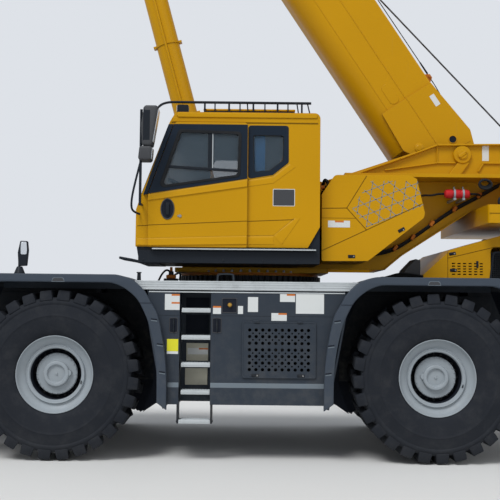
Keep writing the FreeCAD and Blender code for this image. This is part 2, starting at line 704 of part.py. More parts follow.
def make_hood():
    """Engine hood: a shell open at the bottom, with louvre slots in both sides."""
    def corners(wall):
        return [
            (d.hood_front + wall, d.deck_z - wall * 2), (d.hood_rear - wall, d.deck_z - wall * 2),
            (d.hood_rear - wall, d.hood_top - 90 - wall, 60), (d.hood_rear - 120, d.hood_top - wall),
            (d.hood_crest_x, d.hood_top - wall), (d.hood_brow_x + wall, d.hood_brow_z - wall),
            (d.hood_front + wall, d.hood_nose_z - wall),
        ]
    half = d.hood_half_width
    outer = plate("hood_outer", "XZ", corners(0), -half, half)
    inner = plate("hood_inner", "XZ", corners(d.hood_wall), d.hood_wall - half, half - d.hood_wall)
    slots = []
    for side in (-1, 1):
        for column in range(int(d.slot_columns.value)):
            x = d.hood_brow_x + 10 + column * d.slot_pitch_x
            for row in range(int(d.slot_rows.value)):
                z = d.hood_nose_z + row * d.slot_pitch_z
                slots.append(block(f"slot{side}_{column}_{row}", (x, x + d.slot_length),
                                   mirrored(side, half - d.hood_wall - 5, half + 5),
                                   (z, z + d.slot_height)))
        slots.append(plate(f"hood_vent{side}", "XZ",
                           rectangle(d.hood_crest_x - 120, d.hood_crest_x + 520, d.deck_z + 60,
                                     d.hood_top - 130, 60),
                           *mirrored(side, half - d.hood_wall - 5, half + 5)))
    slots.append(block("hood_grille_opening", (d.hood_rear - d.hood_wall - 5, d.hood_rear + 5),
                       (-half + 150, half - 150), (d.deck_z + 60, d.hood_top - 190)))
    keep("engine_hood", cut("engine_hood_whole", outer, [inner] + slots))


def make_engine():
    half = d.engine_half_width
    engine = block("engine_body", (d.engine_front, d.engine_front + d.engine_length), (-half, half),
                   (d.deck_z, d.deck_z + d.engine_height))
    keep("engine_block", engine)


def front_bumper():
    """Bumper plate in front of the outrigger box, with a bore for each lamp."""
    x = d.front_box_x
    half = d.bumper_half_width
    bumper = plate("bumper_plate", "YZ", rectangle(-half, half, d.bumper_low, d.bumper_high, 60),
                   x - d.bumper_thick, x)
    bores = [
        cylinder(f"lamp_bore{i}", d.lamp_radius, "X", x - d.bumper_thick - 5, x - d.bumper_thick + 60,
                 (y, (d.bumper_low + d.bumper_high) / 2))
        for i, y in enumerate(lamp_places())
    ]
    return cut("front_bumper", bumper, bores)


def lamp_places():
    outer = d.bumper_half_width - 180
    return [-outer, -(outer - 210), outer - 210, outer]


def make_bumpers():
    x = d.frame_rear
    low = d.frame_low + d.box_height
    rear = plate("rear_bumper", "YZ",
                 rectangle(-d.bumper_half_width, d.bumper_half_width, low, low + 330, 60), x, x + 60)
    keep("bumpers", group("bumpers_pair", [front_bumper(), rear]))


def make_lamps():
    x = d.front_box_x - d.bumper_thick
    z = (d.bumper_low + d.bumper_high) / 2
    lamps = [
        cylinder(f"lamp{i}", d.lamp_radius - d.seat_gap, "X", x + 15, x + 60, (y, z))
        for i, y in enumerate(lamp_places())
    ]
    x = d.frame_rear + 60
    low = d.frame_low + d.box_height
    for side in (-1, 1):
        y = mirrored(side, d.bumper_half_width - 330, d.bumper_half_width - 60)
        lamps.append(block(f"tail_lamp{side}", (x, x + 35), y, (low + 110, low + 220)))
    keep("lamps", group("lamps_all", lamps))


def make_slewing_ring():
    """External gear of the slewing ring, fixed to the turret."""
    count = int(d.ring_teeth.value)
    root, tip = d.ring_radius.value, d.ring_radius.value + d.ring_tooth.value
    pitch = 2 * math.pi / count
    wire = []
    for tooth in range(count):
        for radius, share in ((root, 0.0), (root, 0.28), (tip, 0.42), (tip, 0.86)):
            angle = (tooth + share) * pitch
            wire.append(V(radius * math.cos(angle), radius * math.sin(angle), 0))
    gear = Part.Face(Part.makePolygon(wire + wire[:1]))
    bore = Part.Face(Part.Wire(Part.makeCircle(d.ring_bore.value)))
    piece = doc.addObject("Part::Feature", "slewing_gear_ring")
    piece.Shape = gear.cut(bore).extrude(V(0, 0, d.ring_high.value - d.ring_low.value))
    keep("slewing_gear", place(piece, 0, 0, d.ring_low))


# Superstructure

def make_turntable():
    """Base plate and flange, two side plates, cross plates and the cylinder cheeks."""
    flange = cylinder("turntable_flange", d.ring_radius - 10, "Z", d.ring_high + d.seat_gap, d.flange_high)
    top = d.flange_high + d.base_plate
    floor = plate("turntable_floor", "XY", rectangle(-860, 900, -620, 620, 60), d.flange_high - 1, top)
    outline = [
        (-780, top - 1), (1560, top - 1), (1744, 2208), (2189, 2498), (d.weight_front, 2742),
        (d.weight_rear - 250, 2742), (d.weight_rear - 250, 3350, 80), (2894, 3518, 60),
        (d.pivot_x - 290, 3505, 60), (1093, 3142, 80), (-250, 2720, 120), (-780, 2560, 100),
    ]
    pieces = [flange, floor]
    for side in (-1, 1):
        y = mirrored(side, d.side_plate_y, d.side_plate_y + d.side_plate)
        pieces.append(plate(f"turntable_side{side}", "XZ", outline, *y))
        boss = cylinder(f"turntable_boss{side}", d.pivot_boss, "Y",
                        *mirrored(side, d.side_plate_y + 1, d.side_plate_y + d.side_plate + 35),
                        (d.pivot_x, d.pivot_z))
        pieces.append(boss)
        gap = d.eye_width / 2 + d.cheek_gap
        cheek = plate(f"turntable_cheek{side}", "XZ", [
            (-760, top - 1), (520, top - 1), (d.foot_pin_x + 150, d.foot_pin_z + 130, 90),
            (d.foot_pin_x - 150, d.foot_pin_z + 130, 90),
        ], *mirrored(side, gap, gap + d.cheek))
        pieces.append(cheek)
        y = mirrored(side, d.side_plate_y + d.side_plate - 1, d.side_plate_y + d.side_plate + 420)
        pieces.append(block(f"walkway{side}", (1050, d.weight_rear - 300), y, (3070, 3110)))
    inner = (-d.side_plate_y - 1, d.side_plate_y + 1)
    for index, (x, z) in enumerate((((700, 740), (top - 1, 2640)), ((1500, 1540), (top - 1, 2520)),
                                    ((2850, 2890), (2755, 3150)))):
        pieces.append(block(f"turntable_cross{index}", x, inner, z))
    pieces.append(plate("turntable_belly", "XZ", [
        (1560, top - 1), (1744, 2208), (2189, 2498), (d.weight_front, 2742), (d.weight_rear - 250, 2742),
        (d.weight_rear - 250, 2762), (2550, 2762), (2180, 2520), (1730, 2232), (1548, 2068),
    ], *inner))
    reach = d.side_plate_y + d.side_plate + 50
    pieces.append(cylinder("turntable_pivot_pin", d.pivot_pin, "Y", -reach, reach, (d.pivot_x, d.pivot_z)))
    solid = join("turntable_solid", pieces)
    bores = []
    for side in (-1, 1):
        gap = d.eye_width / 2 + d.cheek_gap
        bores.append(cylinder(f"cheek_bore{side}", d.pivot_pin, "Y", *mirrored(side, gap - 5, gap + d.cheek + 5),
                              (d.foot_pin_x, d.foot_pin_z)))
    keep("turntable", cut("turntable_whole", solid, bores))


def cab_corners(wall):
    """Side outline of the cab, drawn in by a wall."""
    return [
        (d.cab_front + wall, d.cab_floor + wall), (606 - wall * 0.6, d.cab_floor + wall),
        (d.cab_rear - wall, 2450 + wall * 0.4), (d.cab_rear - wall, d.cab_roof - wall, 60),
        (-800 + wall * 0.3, d.cab_roof - wall, 60), (d.cab_brow_x + wall, d.cab_brow_z - wall),
        (-1160 + wall, d.cab_waist + 40), (d.cab_front + wall, d.cab_waist - 90),
    ]


def make_cab():
    left, right = -d.cab_left, -d.cab_right
    outer = plate("cab_outer", "XZ", cab_corners(0), left, right)
    inner = plate("cab_inner", "XZ", cab_corners(d.cab_wall), left + d.cab_wall, right - d.cab_wall)
    wall = d.cab_wall
    tools = [inner]
    tools.append(plate("cab_doorway", "XZ", [
        (d.cab_door_front + 60, d.cab_door_low + 40), (d.cab_door_rear - 40, d.cab_door_low + 40),
        (d.cab_door_rear - 40, d.cab_door_top - 50), (-790, d.cab_door_top - 50),
        (d.cab_door_front + 60, d.cab_waist + 60),
    ], left - 5, left + wall + 5))
    tools.append(plate("cab_quarter", "XZ", [
        (33, 3022, 25), (201, 3040, 25), (345, 3153, 25), (345, 3420, 25), (19, 3420, 25),
    ], left - 5, left + wall + 5))
    tools.append(plate("cab_right_window", "XZ", [
        (-1000, 2860, 30), (600, 2860, 30), (600, 3430, 30), (-770, 3430, 30),
    ], right - wall - 5, right + 5))
    tools.append(plate("cab_windscreen", "YZ", [
        (left + 70, d.cab_waist + 60, 30), (right - 70, d.cab_waist + 60, 30),
        (right - 70, d.cab_brow_z - 40, 30), (left + 70, d.cab_brow_z - 40, 30),
    ], d.cab_front - 5, -700))
    tools.append(plate("cab_lower_window", "YZ", [
        (left + 90, d.cab_floor + 130, 30), (right - 90, d.cab_floor + 130, 30),
        (right - 90, d.cab_waist - 130, 30), (left + 90, d.cab_waist - 130, 30),
    ], d.cab_front - 5, d.cab_front + wall + 5))
    tools.append(plate("cab_rear_window", "YZ", [
        (left + 90, 2900, 30), (right - 90, 2900, 30), (right - 90, 3480, 30), (left + 90, 3480, 30),
    ], d.cab_rear - wall - 5, d.cab_rear + 5))
    tools.append(plate("cab_hatch", "XY", rectangle(-560, 380, left + 120, right - 120, 40),
                       d.cab_roof - wall - 5, d.cab_roof + 5))
    keep("cab_shell", cut("cab_shell_whole", outer, tools))


def make_cab_glass():
    """Panes set in the middle of the cab walls."""
    left, right = -d.cab_left, -d.cab_right
    wall, thick, edge = d.cab_wall, d.glass, d.seat_gap
    mid_left = left + wall / 2
    mid_right = right - wall / 2
    panes = [
        plate("pane_quarter", "XZ", [(33 + edge, 3022 + edge, 25), (201, 3040 + edge, 25), (345 - edge, 3153, 25),
              (345 - edge, 3420 - edge, 25), (19 + edge, 3420 - edge, 25)], mid_left - thick / 2,
              mid_left + thick / 2),
        plate("pane_right", "XZ", [(-1000 + edge, 2860 + edge, 30), (600 - edge, 2860 + edge, 30),
              (600 - edge, 3430 - edge, 30), (-770 + edge, 3430 - edge, 30)], mid_right - thick / 2,
              mid_right + thick / 2),
        plate("pane_lower", "YZ", rectangle(left + 90 + edge, right - 90 - edge, d.cab_floor + 130 + edge,
              d.cab_waist - 130 - edge, 30), d.cab_front + wall / 2, d.cab_front + wall / 2 + thick),
        plate("pane_rear", "YZ", rectangle(left + 90 + edge, right - 90 - edge, 2900 + edge, 3480 - edge, 30),
              d.cab_rear - wall / 2 - thick, d.cab_rear - wall / 2),
        plate("pane_hatch", "XY", rectangle(-560 + edge, 380 - edge, left + 120 + edge, right - 120 - edge, 40),
              d.cab_roof - wall / 2 - thick, d.cab_roof - wall / 2),
    ]
    screen = plate("pane_screen_sheet", "XZ", [
        (-1160 + wall * 0.4, d.cab_waist + 40), (-1160 + wall * 0.4 + thick, d.cab_waist + 40),
        (d.cab_brow_x + wall * 0.4 + thick, d.cab_brow_z), (d.cab_brow_x + wall * 0.4, d.cab_brow_z),
    ], left + 70 + edge, right - 70 - edge)
    window = plate("pane_screen_window", "YZ", rectangle(left + 70 + edge, right - 70 - edge,
                   d.cab_waist + 60 + edge, d.cab_brow_z - 40 - edge, 30), d.cab_front - 5, -700)
    common = doc.addObject("Part::MultiCommon", "pane_screen")
    common.Shapes = [screen, window]
    panes.append(common)
    keep("cab_glass", group("cab_glass_all", panes))


def make_cab_base():
    left, right = -d.cab_left, -d.cab_right
    body = plate("cab_base_body", "XZ", [
        (d.cab_front + 40, d.cab_sill_low, 40), (560, d.cab_sill_low, 40), (690, d.cab_floor),
        (d.cab_front + 10, d.cab_floor),
    ], left + 20, -d.side_plate_y - d.side_plate)
    rail = block("cab_door_rail", (d.cab_door_front + 40, d.cab_door_rear + d.cab_door_travel + 5),
                 (left - 40, left + 21), (2195, d.cab_door_low - d.seat_gap))
    keep("cab_base", join("cab_base_whole", [body, rail]))


def make_cab_door():
    face = -d.cab_left - d.seat_gap * 20
    leaf = plate("cab_door_leaf", "XZ", [
        (d.cab_door_front, d.cab_door_low, 30), (d.cab_door_rear, d.cab_door_low, 30),
        (d.cab_door_rear, d.cab_door_top, 40), (-800, d.cab_door_top, 40),
        (d.cab_door_front - 8, d.cab_waist + 40, 60),
    ], face - d.cab_door_thick, face)
    window = plate("cab_door_window", "XZ", [
        (-941, 2860, 30), (-130, 2984, 30), (-118, 3428, 30), (-745, 3446, 30),
    ], face - d.cab_door_thick - 5, face + 5)
    keep("cab_door", cut("cab_door_whole", leaf, [window]))
    edge = d.seat_gap
    middle = face - d.cab_door_thick / 2
    pane = plate("cab_door_pane", "XZ", [
        (-941 + edge, 2860 + edge, 30), (-130 - edge, 2984 + edge, 30), (-118 - edge, 3428 - edge, 30),
        (-745 + edge, 3446 - edge, 30),
    ], middle - d.glass / 2, middle + d.glass / 2)
    keep("cab_door_glass", pane)


def make_seat():
    floor = d.cab_floor + d.cab_wall
    mid = -(d.cab_left + d.cab_right) / 2
    pedestal = block("seat_pedestal", (-130, 210), (mid - 150, mid + 150), (floor, floor + 300))
    cushion = plate("seat_cushion", "XZ", [
        (-220, floor + 299, 30), (280, floor + 299, 30), (290, floor + 420, 40), (-230, floor + 440, 50),
    ], mid - 250, mid + 250)
    back = plate("seat_back", "XZ", [
        (200, floor + 400, 20), (310, floor + 400, 20), (440, floor + 1060, 50), (330, floor + 1060, 50),
    ], mid - 235, mid + 235)
    keep("driver_seat", join("driver_seat_whole", [pedestal, cushion, back]))
    consoles = []
    for side in (-1, 1):
        y = span(mid + side * 275, mid + side * 375)
        consoles.append(block(f"console{side}", (-420, 180), y, (floor, floor + 560)))
    panel = plate("console_panel", "XZ", [
        (d.cab_front + 120, floor), (d.cab_front + 220, floor), (d.cab_front + 290, floor + 500, 40),
        (d.cab_front + 150, floor + 530, 40),
    ], mid - 60, mid + 300)
    keep("consoles", group("consoles_all", consoles + [panel]))


def roof_guard():
    z = d.cab_roof
    y = -d.cab_left + 120
    bar = cylinder("roof_rail", 14, "X", -830, 640, (y, z + 130))
    posts = [cylinder(f"roof_post{i}", 10, "Z", z, z + 130, (x, y))
             for i, x in enumerate((-500, -240, 20, 280, 540))]
    lamp = block("roof_lamp", (-790, -680), (y - 60, y + 60), (z, z + 90))
    return [join("roof_rail_whole", [bar] + posts), lamp]


def mirrors():
    y = -d.cab_left - 200
    housing = plate("mirror_housing", "YZ", rectangle(y - 100, y + 100, 3270, 3650, 40), -1110, -1040)
    lower = plate("mirror_lower", "YZ", rectangle(y - 90, y + 90, 3110, 3250, 40), -1100, -1050)
    stem = cylinder("mirror_stem", 14, "Z", 2640, 3640, (-1140, y))
    joints = [cylinder(f"mirror_joint{i}", 10, "X", -1141, -1090, (y, z)) for i, z in enumerate((3180, 3460))]
    arm = cylinder("mirror_arm", 11, "Y", y, -d.cab_left - d.seat_gap, (-1140, 2665))
    return join("cab_mirrors", [housing, lower, stem, arm] + joints)


def make_cab_fittings():
    """Guard rail, work lamp and mirrors outside the cab."""
    keep("cab_fittings", group("cab_fittings_all", roof_guard() + [mirrors()]))


def make_shrouds():
    covers = []
    for node, side in (("shroud_left", -1), ("shroud_right", 1)):
        corners = [
            (764, 2103, 20), (1260, 2108, 30), (1857, 2575, 40), (1868, 2629), (1782, 2994, 20),
            (1700, 3036, 40), (903, 3030, 60), (764, 2822, 30),
        ]
        inner_corners = [
            (779, 2118), (1252, 2122), (1838, 2585), (1850, 2629), (1768, 2982), (1695, 3020),
            (912, 3015), (779, 2816),
        ]
        y = mirrored(side, d.side_plate_y + d.side_plate, d.shroud_outer)
        outer = plate(f"{node}_outer", "XZ", corners, *y)
        wall = d.shroud_wall
        inner = plate(f"{node}_inner", "XZ", inner_corners,
                      *mirrored(side, d.side_plate_y + d.side_plate - 5, d.shroud_outer - wall))
        covers.append(cut(f"{node}_whole", outer, [inner]))
    keep("side_shrouds", group("side_shrouds_pair", covers))


def make_counterweight():
    wide = d.weight_half_width
    slab = plate("weight_slab", "XY", [
        (d.weight_front, -wide, 40), (d.weight_rear, -wide, d.weight_corner),
        (d.weight_rear, wide, d.weight_corner), (d.weight_front, wide, 40),
    ], d.weight_low, d.weight_low + 200)
    horns = [
        plate(f"weight_horn{side}", "XY", [
            (d.weight_front + 500, side * (d.side_plate_y + d.side_plate + d.seat_gap)), (d.weight_front + 500, side * wide, 40),
            (d.weight_rear, side * wide, d.weight_corner),
            (d.weight_rear, side * (d.side_plate_y + d.side_plate + d.seat_gap)),
        ], d.weight_low + 199, 3060)
        for side in (-1, 1)
    ]
    back = plate("weight_back", "XY", rectangle(d.weight_rear - 240, d.weight_rear, -620, 620),
                 d.weight_low + 199, d.weight_top)
    keep("counterweight", join("counterweight_whole", [slab, back] + horns))


def make_winch(node, x, z):
    """Rope drum between flanges, carried by the side plates."""
    half = d.side_plate_y - d.seat_gap
    drum = cylinder(f"{node}_drum", d.winch_radius, "Y", -half + 100, half - 100)
    pieces = [drum]
    for side in (-1, 1):
        pieces.append(cylinder(f"{node}_flange{side}", d.winch_flange, "Y",
                               *mirrored(side, half - 125, half - 100)))
        pieces.append(cylinder(f"{node}_gear{side}", d.winch_radius * 0.8, "Y",
                               *mirrored(side, half - 101, half)))
    keep(node, place(join(f"{node}_whole", pieces), x, 0, z))


# Boom

def luffed(node, piece):
    """Raise a boom piece from its level frame about the boom pivot."""
    turn(piece, (0, 1, 0), d.boom_angle)
    return keep(node, place(piece, d.pivot_x, 0, d.pivot_z))


def section_corners(level, wall=0):
    """Outline of a boom section: flat top and a trough-shaped bottom."""
    inset = d.boom_step * level + wall
    half = d.boom_half_width - inset
    top = d.boom_top - inset
    bottom = inset - d.boom_bottom
    corner = d.boom_corner - inset * 0.7
    return [(-half, bottom, corner), (half, bottom, corner), (half, top, 20), (-half, top, 20)]


def tube_section(name, level, near, far):
    """Hollow section from near to far along the boom, which points to -X."""
    outer = plate(f"{name}_outer", "YZ", section_corners(level), -far, -near)
    inner = plate(f"{name}_inner", "YZ", section_corners(level, d.boom_wall), -far - 5, 5 - near)
    return cut(f"{name}_tube", outer, [inner])


def collar(name, level, far):
    """Front collar, whose pads guide the next section."""
    lip = d.collar_lip
    outer = plate(f"{name}_collar_outer", "YZ", section_corners(level, -lip), -far, d.collar_length - far)
    inner = plate(f"{name}_collar_inner", "YZ", section_corners(level + 1, -d.pad_gap), -far - 5,
                  d.collar_length - far + 5)
    return cut(f"{name}_collar", outer, [inner])


def make_boom_base():
    """Base section with its foot, the collar and the ears for the lift cylinder's rod."""
    tube = tube_section("boom_base", 0, d.boom_start, d.boom_end)
    pieces = [tube, collar("boom_base", 0, d.boom_end)]
    half = d.boom_half_width
    for side in (-1, 1):
        foot = plate(f"boom_foot{side}", "XZ", [
            (-(d.boom_start + 500), -d.boom_bottom + 150), (-(d.boom_start + 500), d.boom_top - 10),
            (-200, d.boom_top + 70, 40), (60, d.boom_top - 20, 120), (160, -60, 120),
            (40, -230, 120), (-d.boom_start, -d.boom_bottom + 120, 60),
        ], *mirrored(side, half - 1, half + d.foot_cheek))
        boss = cylinder(f"boom_foot_boss{side}", d.pivot_boss + 25, "Y",
                        *mirrored(side, half - 40, d.side_plate_y - 6))
        pieces += [foot, boss]
        ear = plate(f"rod_ear{side}", "XZ", [
            (-(d.rod_pin_along - 420), -d.boom_bottom + 60), (-(d.rod_pin_along + 420), -d.boom_bottom + 60),
            (-(d.rod_pin_along + 130), -(d.rod_pin_below + 120), 90),
            (-(d.rod_pin_along - 130), -(d.rod_pin_below + 120), 90),
        ], *mirrored(side, d.eye_width / 2 + d.cheek_gap, d.eye_width / 2 + d.cheek_gap + d.cheek))
        pieces.append(ear)
    solid = join("boom_base_solid", pieces)
    hollow = plate("boom_base_hollow", "YZ", section_corners(0, d.boom_wall), -d.boom_end + 200,
                   -d.boom_start - 20)
    reach = rod_pin_reach() + 5
    bores = [
        cylinder("boom_foot_bore", d.pivot_pin + d.fit, "Y", -600, 600),
        cylinder("rod_ear_bore", d.rod_pin + d.fit, "Y", -reach, reach, (-d.rod_pin_along, -d.rod_pin_below)),
        hollow,
    ]
    luffed("boom_base", cut("boom_base_whole", solid, bores))


def rod_pin_reach():
    return d.eye_width / 2 + d.cheek_gap + d.cheek + 20


def make_sections():
    """The four inner sections, each shorter in its outer by one head step."""
    for level in (1, 2, 3, 4):
        head = d.boom_end + d.head_step * level
        tube = tube_section(f"section{level}", level, head - d.section_length, head)
        pieces = [tube]
        if level < 4:
            pieces.append(collar(f"section{level}", level, head))
            luffed(f"boom_section_{level}", join(f"section{level}_whole", pieces))
        else:
            luffed(f"boom_section_{level}", tube)


def make_head():
    """Boom head: two cheeks, an end plate, and the sheaves on two pins."""
    tip = d.boom_end + d.head_step * 4
    half = d.head_half_width
    pieces = []
    for side in (-1, 1):
        pieces.append(plate(f"head_cheek{side}", "XZ", [
            (-tip - 1, 30 - d.boom_bottom + 160), (-tip - 1, d.boom_top - 175),
            (-tip - 300, d.boom_top + 60, 60), (-tip - d.head_length, d.boom_top - 60, 120),
            (-tip - d.head_length + 120, -200, 120), (-tip - d.head_axis - 150, -(d.head_drop + 130), 110),
            (-tip - d.head_axis + 150, -(d.head_drop + 130), 110),
        ], *mirrored(side, half - d.head_cheek, half)))
    plug = plate("head_end", "YZ", rectangle(1 - half, half - 1, 190 - d.boom_bottom, d.boom_top - 175),
                 -tip - 40, -tip - d.seat_gap)
    pieces.append(plug)
    for index, (along, height) in enumerate(head_pins()):
        pieces.append(cylinder(f"head_pin{index}", 45, "Y", -half - 15, half + 15, (-tip - along, height)))
    sheaves = []
    for index, (along, height) in enumerate(head_pins()):
        for lane in sheave_lanes():
            sheaves.append(cylinder(f"sheave{index}_{len(sheaves)}", d.sheave_radius, "Y",
                                    lane - d.sheave_thick / 2, lane + d.sheave_thick / 2,
                                    (-tip - along, height)))
    jib_bore = cylinder("jib_pin_bore", d.jib_pin + d.fit, "Y", -half - 20, half + 20, (-tip - 640, -330))
    luffed("boom_head", cut("boom_head_whole", join("boom_head_solid", pieces + sheaves), [jib_bore]))


def head_pins():
    return ((d.head_axis, -d.head_drop), (d.head_length - 230, d.boom_top - 120))


def sheave_lanes():
    return [d.sheave_thick * 1.6 * k for k in (-1.5, -0.5, 0.5, 1.5)]


def boom_point(along, below):
    """World X and Z of a point given along the boom and below its pivot line, as formulas."""
    angle = math.radians(d.boom_angle.value)
    cosine = Size(math.cos(angle), "cos(Sizes.boom_angle)")
    sine = Size(math.sin(angle), "sin(Sizes.boom_angle)")
    return d.pivot_x - along * cosine - below * sine, d.pivot_z + along * sine - below * cosine


def make_hook():
    """Falls from the lower head sheaves, the hook block under them and its hook."""
    x, z = boom_point(d.boom_end + d.head_step * 4 + d.head_axis, d.head_drop)
    drop = d.fall_length
    falls = []
    radius = d.sheave_radius + d.rope_radius + d.seat_gap
    for lane in sheave_lanes():
        for way in (-1, 1):
            falls.append(cylinder(f"fall{len(falls)}", d.rope_radius, "Z", -drop, 0, (way * radius, lane)))
    keep("hoist_falls", place(group("hoist_falls_all", falls), x, 0, z))
    width = d.block_width
    sheaves = []
    for lane in sheave_lanes():
        sheaves.append(cylinder(f"block_sheave{len(sheaves)}", d.sheave_radius, "Y",
                                lane - d.sheave_thick / 2, lane + d.sheave_thick / 2, (0, -drop)))
    cheeks = []
    for side in (-1, 1):
        cheeks.append(plate(f"block_cheek{side}", "XZ", [
            (-150, -drop + 170, 120), (-190, -drop - 120, 120), (-90, -drop - 330, 40),
            (90, -drop - 330, 40), (190, -drop - 120, 120), (150, -drop + 170, 120),
        ], *mirrored(side, width, width + 30)))
    pin = cylinder("block_pin", 45, "Y", -width - 40, width + 40, (0, -drop))
    trunnion = block("block_trunnion", (-80, 80), (-width - 1, width + 1), (-drop - 330, -drop - 230))
    frame = cheeks + [pin, trunnion] + sheaves
    shank = cylinder("hook_shank", 40, "Z", -drop - 505, -drop - 329, (-20, 0))
    centre = (0, -drop - 580)
    disc = cylinder("hook_disc", 141, "Y", -36, 36, centre)
    throat = cylinder("hook_throat", 69, "Y", -40, 40, centre)
    gap = block("hook_gap", (20, 160), (-40, 40), (-drop - 560, -drop - 400))
    bow = cut("hook_bow", disc, [throat, gap])
    keep("hook_block", place(join("hook_block_whole", frame + [shank, bow]), x, 0, z))


# Lift cylinder

def cylinder_lean():
    """Formulas of the lift cylinder's pin-to-pin length and of its lean from vertical."""
    x, z = boom_point(d.rod_pin_along, d.rod_pin_below)
    across = x - d.foot_pin_x
    up = z - d.foot_pin_z
    angle = Size(math.degrees(math.atan2(across.value, up.value)), f"atan2({across.text}; {up.text})")
    return x, z, angle


def make_lift_cylinder():
    x, z, lean = cylinder_lean()
    barrel = cylinder("lift_barrel_tube", d.barrel_radius, "Z", d.eye_radius * 0.7, d.barrel_length)
    eye = cylinder("lift_barrel_eye", d.eye_radius, "Y", -d.eye_width / 2, d.eye_width / 2)
    solid = join("lift_barrel_solid", [barrel, eye])
    bores = [
        cylinder("lift_barrel_bore", d.rod_radius + d.fit, "Z", d.eye_radius * 0.7 + 60, d.barrel_length + 5),
        cylinder("lift_barrel_pin", d.pivot_pin, "Y", -d.eye_width, d.eye_width),
    ]
    whole = cut("lift_barrel_whole", solid, bores)
    turn(whole, (0, 1, 0), lean)
    keep("lift_cylinder_barrel", place(whole, d.foot_pin_x, 0, d.foot_pin_z))
    rod = cylinder("lift_rod_bar", d.rod_radius, "Z", -d.rod_length, -d.eye_radius * 0.7)
    eye = cylinder("lift_rod_eye", d.eye_radius, "Y", -d.eye_width / 2, d.eye_width / 2)
    pin = cylinder("lift_rod_pin", d.rod_pin, "Y", -rod_pin_reach(), rod_pin_reach())
    whole = join("lift_rod_whole", [rod, eye, pin])
    turn(whole, (0, 1, 0), lean)
    keep("lift_cylinder_rod", place(whole, x, 0, z))


def build():
    make_tyres()
    for name, x, side in CORNERS:
        make_rim(f"wheel_{name}", x, side)
        make_knuckle(f"knuckle_{name}", x, side)
    make_axle("front_axle", d.front_axle_x)
    make_axle("rear_axle", d.rear_axle_x)
    make_frame()
    make_outrigger_boxes()
    for name, x, lane, side in BEAMS:
        make_beam(f"beam_{name}", x, lane, side)
        make_jack(f"jack_{name}", x, lane, side)
    make_deck()
    make_deck_edge()
    make_fenders()
    make_cabinet("side_cabinet_left", -1, True)
    make_cabinet("side_cabinet_right", 1, False)
    make_treads()
    make_side_door()
    make_hood()
    make_engine()
    make_bumpers()
    make_lamps()
    make_slewing_ring()
    make_turntable()
    make_cab()
    make_cab_glass()
    make_cab_base()
    make_cab_door()
    make_seat()
    make_cab_fittings()
    make_shrouds()
    make_counterweight()
    make_winch("main_winch", d.winch_x, d.winch_z)
    make_boom_base()
    make_sections()
    make_head()
    make_hook()
    make_lift_cylinder()


def check():
    """Stop if any feature failed or a sub-part has no valid shape."""
    for piece in doc.Objects:
        if "Invalid" in piece.State or "Error" in piece.State:
            raise RuntimeError(f"{piece.Name} failed: {piece.State}")
    bad = [p.Label for p in NODES if p.Shape.isNull() or not p.Shape.isValid() or not p.Shape.Solids]
    if bad:
        raise RuntimeError(f"no valid solid: {bad}")


def export():
    os.makedirs("parts", exist_ok=True)
    for piece in NODES:
        piece.Shape.exportStep(f"parts/{piece.Label}.step")


build()
doc.recompute()
check()
export()
print(len(NODES), "sub-parts")
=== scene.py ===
"""Dressing of a two-axle mobile crane: finishes, detailed pieces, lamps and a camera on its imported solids."""

import json
from math import atan2, cos, degrees, hypot, pi, radians, sin, tan

import bmesh
import bpy
from mathutils import Matrix, Vector


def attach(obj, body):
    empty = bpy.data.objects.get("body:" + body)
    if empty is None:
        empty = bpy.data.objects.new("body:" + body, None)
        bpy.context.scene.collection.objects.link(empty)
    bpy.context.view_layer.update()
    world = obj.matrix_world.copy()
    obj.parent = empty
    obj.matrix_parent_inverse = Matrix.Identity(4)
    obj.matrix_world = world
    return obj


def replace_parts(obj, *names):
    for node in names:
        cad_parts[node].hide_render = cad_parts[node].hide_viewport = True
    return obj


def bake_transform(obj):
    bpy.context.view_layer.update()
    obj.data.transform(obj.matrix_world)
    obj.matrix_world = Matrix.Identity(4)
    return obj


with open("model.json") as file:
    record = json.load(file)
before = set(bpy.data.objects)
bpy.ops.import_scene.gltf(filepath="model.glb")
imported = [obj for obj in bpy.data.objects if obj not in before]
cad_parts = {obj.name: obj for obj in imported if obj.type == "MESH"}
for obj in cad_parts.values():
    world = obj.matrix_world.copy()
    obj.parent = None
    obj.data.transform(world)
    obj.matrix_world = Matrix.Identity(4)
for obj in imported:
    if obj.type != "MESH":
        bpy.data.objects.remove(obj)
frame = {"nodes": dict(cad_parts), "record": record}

bl_info = {
    "name": "Mobile Crane Dressing",
    "version": (1, 0, 0),
    "blender": (4, 5, 0),
    "location": "View3D > Sidebar > Crane",
    "description": "Finishes, fittings, lamps and a camera for the packed mobile crane",
    "category": "Object",
}

AXLE_Z = 0.887
HALF_TRACK = 1.225
CORNERS = (
    ("front_left", -2.015, -1),
    ("front_right", -2.015, 1),
    ("rear_left", 1.96, -1),
    ("rear_right", 1.96, 1),
)
BOOM_LEAN = radians(56.4)
BOOM_PIVOT = (2.451, 0, 3.39)
# Local X runs up the boom from its pivot, local Z points out of its upper side
BOOM = Matrix.Translation(BOOM_PIVOT) @ Matrix((
    (-cos(BOOM_LEAN), 0, sin(BOOM_LEAN), 0),
    (0, -1, 0, 0),
    (sin(BOOM_LEAN), 0, cos(BOOM_LEAN), 0),
    (0, 0, 0, 1),
))
SIDES = (-1, 1)
# How far the faces that carry details lie from the middle plane of their solids
CABINET_FACE = 1.5
LADDER_BACK = 1.176
FENDER_FACE = 1.59
DECK_EDGE_FACE = 1.512
CAB_FACE = 1.462
CAB_DOOR_FACE = 1.502
SHROUD_FACE = 1.3
HOOD_FACE = 0.85
TURNTABLE_FACE = 0.49
WEIGHT_FACE = 1.25
BOOM_FACE = 0.33
BOOM_FOOT_FACE = 0.36
SEAT_MIDDLE = -1.041
WINCH = (3.23, 0, 3.33)


